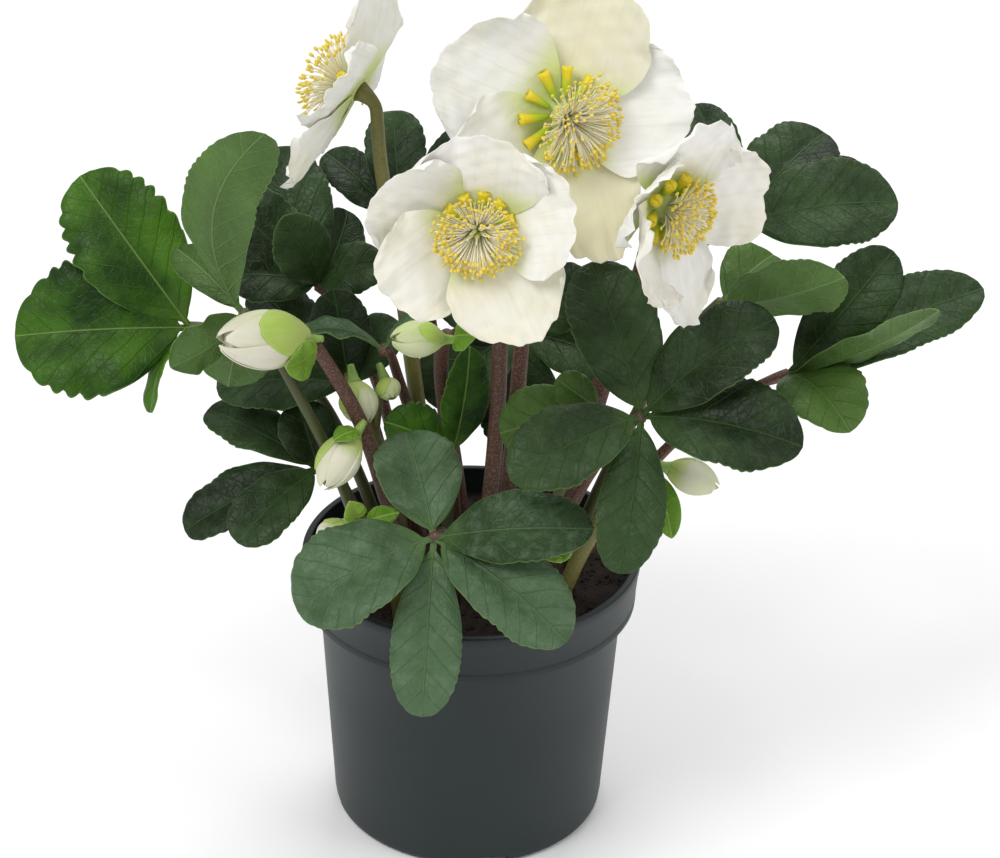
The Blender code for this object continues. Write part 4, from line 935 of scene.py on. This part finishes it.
budStems = {
    "bud_stem_left": {
        "look": "brown", "crown": (-22, -20), "end": (-57, -36, 217), "steer": (-36, -22, 176),
        "buds": {"bud_left": ((-60, -38, 220), (-89, -56, 228), 21),
                 "bud_left_low": ((-43, -33, 178), (-54, -46, 164), 15)},
        "bracts": [((-56, -37, 216), (-66, -54, 217), 15, (0.4, -1.0, 0.0)),
                   ((-41, -33, 180), (-50, -42, 181), 8, (-0.2, -0.6, 1.0))],
        "side": ((-38, -25, 175), (-42, -31, 179)),
    },
    "bud_stem_inner": {
        "look": "green", "crown": (-23, -5), "end": (-46, -6, 190), "steer": (-38, -6, 168),
        "buds": {"bud_inner": ((-44, -12, 189), (-40, -22, 177), 14),
                 "bud_inner_small": ((-33, -7, 188), (-30, -14, 184), 9)},
        "bracts": [],
        "side": ((-37, -6, 161), (-34, -5, 190)),
    },
    "bud_stem_middle": {
        "look": "brown", "crown": (-6, 12), "end": (-9, -27, 216), "steer": (-16, 10, 208),
        "buds": {"bud_middle": ((-12, -30, 217), (-29, -40, 222), 13)},
        "bracts": [((-7, -28, 217), (1, -44, 226), 12, (0.3, -1.0, 0.6))],
        "side": None,
    },
    "bud_stem_low": {
        "look": "green", "crown": (-26, -36), "end": (-42, -42, 150), "steer": (-32, -40, 138),
        "buds": {"bud_low": ((-45, -43, 147), (-54, -48, 137), 15)},
        "bracts": [((-42, -43, 149), (-44, -49, 160), 9, (0.3, -1.0, 0.3)),
                   ((-39, -41, 147), (-26, -46, 154), 8, (0.0, -0.8, 0.6))],
        "side": None,
    },
    "bud_stem_right": {
        "look": "green", "crown": (33, -30), "end": (67, -30, 168), "steer": (54, -30, 166),
        "buds": {"bud_right": ((72, -32, 167), (90, -36, 162), 13)},
        "bracts": [((68, -32, 166), (74, -40, 142), 11, (0.0, -1.0, 0.3))],
        "side": None,
    },
}
budStalk = {"shares": (0, 0.5, 1), "radii": (3.0, 2.9, 2.5), "sides": 14, "wander": 0.6}
budShape = {"rows": 30, "columns": 20, "span": 2.3, "overlap": 0.07, "thickness": 0.5}
budSpoons = {  # the green sepal folded over a bud: turn, span, reach, and how green the white ones are
    "bud_left": (-0.75, 2.0, 0.66, 0.0),
    "bud_left_low": (1.0, 1.6, 0.8, 0.1),
    "bud_inner": (1.4, 1.8, 0.7, 0.35),
    "bud_inner_small": (1.4, 2.4, 0.8, 0.6),
    "bud_middle": (-0.6, 1.6, 0.6, 0.3),
    "bud_low": (0.5, 1.2, 0.3, 0.1),
    "bud_right": (-1.2, 1.6, 0.6, 0.15),
}


def makeBud(name, foot, tip, width, seed):
    # five closed sepals wrapped round each other, each with one edge over its neighbour
    # the sixth is the green one folded over them
    foot, tip = np.asarray(foot, float), np.asarray(tip, float)
    along = unit(tip - foot)
    length = float(np.linalg.norm(tip - foot))
    side = across((0.2, 0.1, 1.0), along)
    lift = np.cross(along, side)
    shape = budShape
    growth = Growth(name + "_sepals")
    share = np.linspace(0, 1, shape["rows"] + 1)[:, None]
    offset = np.linspace(-1, 1, shape["columns"] + 1)[None]
    spoonTurn, spoonSpan, spoonReach, green = budSpoons[name]
    for number in range(6):
        spoon = number == 5
        reachShare = spoonReach if spoon else 1.0 - 0.04 * (number % 3)
        rise = share * reachShare
        swell = np.sin(math.pi * (0.10 + 0.86 * rise)) ** 0.72
        narrow = np.clip(np.sin(math.pi * (0.22 + 0.76 * share)), 0, 1) ** 0.55
        start = spoonTurn if spoon else 2 * math.pi * number / 5 + 0.25 * rise
        turn = start + (spoonSpan if spoon else shape["span"]) / 2 * offset * narrow
        wrinkle = 0.012 * np.sin(11 * offset + seed + number) * rise
        overlap = 0.11 if spoon else shape["overlap"] * offset
        radius = 0.5 * width * swell * (1.0 + overlap + wrinkle - 0.04 * np.abs(offset) ** 3)
        spoke = side * np.cos(turn)[:, :, None] + lift * np.sin(turn)[:, :, None]
        centre = foot + along * (0.3 + length * rise)[:, :, None] * np.ones_like(offset)[:, :, None]
        outer = centre + spoke * radius[:, :, None]
        inner = centre + spoke * (radius - shape["thickness"])[:, :, None]
        upwards = np.broadcast_to(length * rise / 100 + 0.3 * number, radius.shape)
        uv = np.stack([radius * turn / 100 + 0.5, upwards], axis=2)
        addSheet(growth, outer, inner, 0, uv, np.broadcast_to(np.abs(offset), outer.shape[:2]),
                 np.broadcast_to(rise, outer.shape[:2]), 0.95 if spoon else green)
    core = foot + along * np.linspace(0.4, 0.86 * length, 12)[:, None]
    coreShare = np.linspace(0.02, 0.86, 12)
    addStalk(growth, core, 0.5 * width * 0.86 * np.sin(math.pi * (0.10 + 0.86 * coreShare)) ** 0.72, 16, 0,
             part=coreShare)
    settle(growth.finish([budWhite]), name)


def makeBudStem(name, plan, number):
    growth = Growth(name + "_stalk")
    path = stemPath(plan["crown"], plan["steer"], plan["end"], 30)
    path = wandering(path, budStalk["wander"], number + 5)
    radii = graded(len(path), budStalk["shares"], budStalk["radii"])
    addStalk(growth, path, radii, budStalk["sides"], 0)
    if plan["side"]:
        addStalk(growth, np.linspace(*np.array(plan["side"], float), 6), np.linspace(1.6, 1.4, 6), 10, 0)
    for foot, tip, width in plan["buds"].values():
        foot, tip = np.asarray(foot, float), np.asarray(tip, float)
        along = unit(tip - foot)
        steps = np.linspace(-7.0, 0.3, 8)[:, None]
        cup = graded(8, (0, 0.7, 1), (1.3, 1.9, 0.16 * width + 0.8))
        addStalk(growth, foot + along * steps, cup, 12, 1)
    for index, (foot, tip, width, facing) in enumerate(plan["bracts"]):
        reach = np.asarray(tip, float) - np.asarray(foot, float)
        bract = (reach, width, 1.5, facing, 0.5, {"teeth": 0.0})
        addLeaflet(growth, foot, bract, 2, number * 3 + index + 1)
    piece = growth.finish([stemSkins[plan["look"]], stemSkins["bract"], leafSkins["young"]])
    settle(piece, name)
    for index, (budName, (foot, tip, width)) in enumerate(plan["buds"].items()):
        makeBud(budName, foot, tip, width, number * 2 + index)


for number, (name, plan) in enumerate(budStems.items()):
    makeBudStem(name, plan, number)
print("buds set:", sum(len(plan["buds"]) for plan in budStems.values()))


# pot

pot = {"height": 112.0, "rimRadius": 65.0, "bandFoot": 63.4, "neck": 58.4, "base": 52.6, "band": 20.0,
       "wall": 1.5, "lip": 2.8, "lipRounding": 0.9, "cornerRounding": 3.4,
       "floor": 5.0, "floorThickness": 1.8, "centreFoot": 16.0, "ringWidth": 8.0,
       "notchWidth": 21.0, "notchHeight": 4.0, "notchTurn": 7.0, "notches": 4, "drains": 4,
       "drainRadius": 4.0, "drainCircle": 30.0, "turns": 160}


def potWall(height):
    return pot["base"] + (pot["neck"] - pot["base"]) * height / (pot["height"] - pot["band"])


def bandInner(height):
    share = (height - pot["height"] + pot["band"]) / pot["band"]
    return pot["bandFoot"] + (pot["rimRadius"] - pot["bandFoot"]) * share - pot["wall"] - 0.6


def turned(growth, profile, turns, slot):
    # a closed profile of (radius, height) turned round Z; both ends lie on the axis
    rings = []
    for radius, height in profile[1:-1]:
        angle = 2 * math.pi * np.arange(turns) / turns
        ring = [radius * np.cos(angle), radius * np.sin(angle), np.full(turns, height)]
        rings.append(np.stack(ring, axis=1))
    points = np.vstack([*rings, [(0, 0, profile[0][1]), (0, 0, profile[-1][1])]])
    size = turns * len(rings)
    faces = gridFaces(len(rings), turns, closed=True)
    faces += [(size, (turn + 1) % turns, turn) for turn in range(turns)]
    last = size - turns
    faces += [(size + 1, last + turn, last + (turn + 1) % turns) for turn in range(turns)]
    growth.add(points, faces, slot)


def makePot():
    # a turned shell, with the notches of its foot and the drain holes of its floor cut out
    p = pot
    bandFoot = p["height"] - p["band"]
    floorTop = p["floor"] + p["floorThickness"]
    ring = p["base"] - p["ringWidth"]
    r, c = p["lipRounding"], p["cornerRounding"]
    rim = [(p["rimRadius"] - r + r * math.sin(a), p["height"] - r + r * math.cos(a))
           for a in np.linspace(math.pi / 2, 0, 5)]
    lipIn = p["rimRadius"] - p["lip"]
    inside = [(lipIn + 0.5, p["height"]), (lipIn + 0.1, p["height"] - 0.25), (lipIn, p["height"] - 0.8)]
    corner = [(p["base"] - c + c * math.sin(a), c - c * math.cos(a)) for a in np.linspace(0.15, 1.35, 7)]
    # from the axis below, out over the foot, up the outside, over the lip and down the inside
    profile = [(0, 0), (p["centreFoot"], 0),
               (p["centreFoot"] + 0.3, 0.4), (p["centreFoot"] + 0.3, p["floor"]),
               (ring, p["floor"]), (ring, 0.3), (ring + 0.4, 0.0), *corner,
               (potWall(6.0), 6.0), (potWall(30.0), 30.0), (potWall(60.0), 60.0),
               (potWall(bandFoot) - 0.05, bandFoot - 0.6), (potWall(bandFoot) + 0.3, bandFoot),
               (p["bandFoot"] - 0.5, bandFoot), (p["bandFoot"], bandFoot + 0.5),
               (p["bandFoot"] + 0.22, bandFoot + 3.0), (p["bandFoot"] + 0.02, bandFoot + 3.4),
               (p["rimRadius"] - 0.35, p["height"] - 4.0), (p["rimRadius"] - 0.1, p["height"] - 3.6),
               *rim, *inside,
               (bandInner(p["height"] - 2.0), p["height"] - 2.0),
               (bandInner(bandFoot + p["wall"]), bandFoot + p["wall"]),
               (potWall(bandFoot) - p["wall"], bandFoot + p["wall"]),
               (potWall(floorTop) - p["wall"], floorTop), (0, floorTop)]
    growth = Growth("pot_shell")
    turned(growth, profile, p["turns"], 0)
    shell = growth.finish([potMaterial()])
    cutters = Growth("pot_cutters")
    for number in range(p["notches"]):
        angle = math.radians(-90.0 + p["notchTurn"] + 360.0 * number / p["notches"])
        outward = np.array((math.cos(angle), math.sin(angle), 0.0))
        sideways = np.array((-math.sin(angle), math.cos(angle), 0.0))
        arch = [(-0.5, -1.0), (0.5, -1.0), (0.5, 0.62), (0.44, 0.9),
                (0.36, 1.0), (-0.36, 1.0), (-0.44, 0.9), (-0.5, 0.62)]
        corners = [outward * far + sideways * u * p["notchWidth"] + np.array((0, 0, v * p["notchHeight"]))
                   for far in (40.0, 60.0) for u, v in arch]
        size = len(arch)
        faces = [tuple(range(size)), tuple(range(2 * size - 1, size - 1, -1))]
        faces += [((i + 1) % size, i, i + size, (i + 1) % size + size) for i in range(size)]
        cutters.add(corners, faces, 0)
    for number in range(p["drains"]):
        angle = 2.0 * math.pi * (number + 0.25) / p["drains"]
        spot = np.array((math.cos(angle), math.sin(angle), 0.0)) * p["drainCircle"]
        addStalk(cutters, [spot + (0, 0, 2.0), spot + (0, 0, floorTop + 2.0)], p["drainRadius"], 32, 0)
    tool = cutters.finish([])
    toolMesh = bmesh.new()
    toolMesh.from_mesh(tool.data)
    bmesh.ops.recalc_face_normals(toolMesh, faces=toolMesh.faces)
    toolMesh.to_mesh(tool.data)
    toolMesh.free()
    cut = shell.modifiers.new("cut", "BOOLEAN")
    cut.operation = "DIFFERENCE"
    cut.object = tool
    cut.solver = "EXACT"
    mesh = bpy.data.meshes.new_from_object(shell.evaluated_get(bpy.context.evaluated_depsgraph_get()))
    shell.modifiers.clear()
    shell.data = mesh
    mesh.set_sharp_from_angle(angle=math.radians(32))
    bpy.data.objects.remove(tool)
    settle(shell, "pot")


# soil

def soilHeight(x, y):
    reach = np.hypot(x, y) / pot["rimRadius"]
    lumps = np.sin(0.23 * x + 1.3) * np.cos(0.19 * y - 0.4) + 0.6 * np.sin(0.41 * x - 0.37 * y)
    fine = 0.35 * np.sin(1.1 * x + 0.7 * y) * np.sin(0.9 * y - 0.6 * x)
    fine = fine + 0.2 * np.sin(2.3 * x) * np.cos(2.1 * y)
    return soil["level"] + soil["dome"] * (1 - reach ** 2) + (soil["lump"] * lumps + fine) * (1 - reach)


def scatterTree():
    # the bed joined with crumbs and fibres scattered over its upper face
    g, keys, given = newTree("scatter", {"Bed": "Geometry", "Crumb": "Object", "Fibre": "Object",
                                         "Crumb Density": "Float", "Fibre Density": "Float",
                                         "Seed": "Int", "Material": "Material"})
    upright = g.node("ShaderNodeSeparateXYZ", {0: g.node("GeometryNodeInputNormal")})
    facesUp = g.node("FunctionNodeCompare", {0: upright.outputs[2], 1: 0.6}, operation="GREATER_THAN")
    joined = g.node("GeometryNodeJoinGeometry", {0: given["Bed"]})
    # crumbs lie any way up, and fibres nearly flat
    for name, smallest, largest, low, high in (("Crumb", 0.5, 1.5, 0.0, 6.28),
                                               ("Fibre", 0.6, 1.3, -0.35, 0.35)):
        points = g.node("GeometryNodeDistributePointsOnFaces",
                        {"Mesh": given["Bed"], "Selection": facesUp,
                         "Density": given[name + " Density"], "Seed": given["Seed"]})
        spin = g.node("FunctionNodeRandomValue", {0: (low, low, 0.0), 1: (high, high, 6.28),
                                                  "Seed": given["Seed"]}, data_type="FLOAT_VECTOR")
        size = g.node("FunctionNodeRandomValue", {2: smallest, 3: largest, "Seed": given["Seed"]})
        fill(joined, {0: copiesOn(g, points, given[name], spin, size)})
    closeTree(g, given, joined)
    return g.tree, keys


def crumbPattern(growth):
    # a lump about 1.7 mm across with few faces, since thousands are scattered
    rings = np.linspace(0.25, math.pi - 0.25, 4)[:, None]
    turns = 2 * math.pi * np.arange(6)[None] / 6
    bulge = 1 + 0.22 * np.sin(3 * turns + 2 * rings)
    grid = np.stack([np.sin(rings) * np.cos(turns) * bulge, 0.8 * np.sin(rings) * np.sin(turns) * bulge,
                     -0.7 * np.cos(rings) * np.ones_like(turns)], axis=2) * 0.85
    faces = gridFaces(4, 6, closed=True) + [(5, 4, 3, 2, 1, 0), (18, 19, 20, 21, 22, 23)]
    growth.add(grid, faces, 0, part=0.0)


def fibrePattern(growth):
    # a bent thread of peat, 6 mm long
    addStalk(growth, bend((-3, 0, 0.1), (0, 1.4, 1.0), (3, 0, 0.2), 6), 0.16, 3, 0, part=0.8)


def makeSoil():
    # a turned bed that fills the pot, its top raised and lumped before the crumbs lie on it
    growth = Growth("peat_bed")
    bandFoot = pot["height"] - pot["band"]
    floor = pot["floor"] + pot["floorThickness"] + 0.4
    edge = bandInner(soil["level"]) - 0.35
    profile = [(0, floor), (potWall(floor) - pot["wall"] - 0.4, floor),
               (potWall(bandFoot) - pot["wall"] - 0.4, bandFoot + 1.8),
               (bandInner(bandFoot + 1.5) - 0.4, bandFoot + 1.8)]
    profile += [(edge * share, soil["level"]) for share in np.linspace(1, 0.02, soil["rings"])]
    profile.append((0, soil["level"]))
    turned(growth, profile, soil["turns"], 0)
    bed = growth.finish([])
    where = np.zeros(len(bed.data.vertices) * 3)
    bed.data.vertices.foreach_get("co", where)
    where = where.reshape(-1, 3) / mm
    onTop = np.abs(where[:, 2] - soil["level"]) < 0.01
    raised = onTop & (np.hypot(where[:, 0], where[:, 1]) < edge - 0.5)
    where[raised, 2] = soilHeight(where[raised, 0], where[raised, 1])
    bed.data.vertices.foreach_set("co", (where * mm).ravel())
    crumb, fibre = patternPiece("crumbPattern", crumbPattern), patternPiece("fibrePattern", fibrePattern)
    tree, sockets = scatterTree()
    settings = {"Crumb": crumb, "Fibre": fibre, "Crumb Density": soil["crumbDensity"],
                "Fibre Density": soil["fibreDensity"], "Seed": soil["seed"], "Material": peatMaterial()}
    piece = grownObject("peat_surface", tree, sockets, settings, bed.data)
    for old in (bed, crumb, fibre):
        bpy.data.objects.remove(old)
    settle(piece, "soil")


makePot()
makeSoil()
print("pot and soil made")


# studio

studio = {
    "cameraPlace": (0.0099, -1.0, 0.714), "cameraTarget": (0.0099, 0.0, 0.1643), "cameraRoll": 0.0214,
    "lens": 109.4, "sensor": 36.0,
    "floorSize": 6.0, "floorColour": "#ffffff", "worldColour": "#ffffff", "worldStrength": 0.50,
    "lamps": [  # place, aim, size, power in watts
        ((-0.8, -0.9, 1.7), (0, 0, 0.2), 0.8, 18.0),
        ((1.2, -0.5, 1.1), (0, 0, 0.15), 0.7, 5.0),
        ((0.2, 0.9, 1.6), (0, 0, 0.2), 0.9, 11.0),
    ],
}


def makeStudio():
    camera = bpy.data.cameras.new("studioCamera")
    camera.lens = studio["lens"]
    camera.sensor_width = studio["sensor"]
    camera.clip_start = 0.05
    place, target = Vector(studio["cameraPlace"]), Vector(studio["cameraTarget"])
    ahead = (target - place).normalized()
    right = ahead.cross(Vector((0, 0, 1))).normalized()
    up = right.cross(ahead)
    roll = studio["cameraRoll"]
    tiltedRight = right * math.cos(roll) + up * math.sin(roll)
    tiltedUp = up * math.cos(roll) - right * math.sin(roll)
    holder = bpy.data.objects.new("studioCamera", camera)
    turn = Matrix((tiltedRight, tiltedUp, -ahead)).transposed().to_4x4()
    holder.matrix_world = Matrix.Translation(place) @ turn
    bpy.context.scene.collection.objects.link(holder)
    bpy.context.scene.camera = holder
    floorMesh = bpy.data.meshes.new("studioFloor")
    half = studio["floorSize"] / 2
    corners = [(-half, -half, 0), (half, -half, 0), (half, half, 0), (-half, half, 0)]
    floorMesh.from_pydata(corners, [], [(0, 1, 2, 3)])
    floor = bpy.data.objects.new("studioFloor", floorMesh)
    bpy.context.scene.collection.objects.link(floor)
    # a white paper roll, dull, so that nothing mirrors in it
    paper = Skin("mattPaper").finish({"Base Color": studio["floorColour"], "Roughness": 0.9})
    floorMesh.materials.append(paper)
    world = bpy.data.worlds.new("studioWorld")
    world.use_nodes = True
    fill(world.node_tree.nodes["Background"],
         {"Color": studio["worldColour"], "Strength": studio["worldStrength"]})
    bpy.context.scene.world = world
    bpy.context.scene.view_settings.view_transform = "Standard"  # white stays white
    for number, (spot, aim, size, power) in enumerate(studio["lamps"]):
        lamp = bpy.data.lights.new(f"softbox_{number}", "AREA")
        lamp.size = size
        lamp.energy = power
        stand = bpy.data.objects.new(f"softbox_{number}", lamp)
        stand.location = spot
        stand.rotation_euler = (Vector(aim) - Vector(spot)).to_track_quat("-Z", "Y").to_euler()
        bpy.context.scene.collection.objects.link(stand)


makeStudio()
print("studio set")
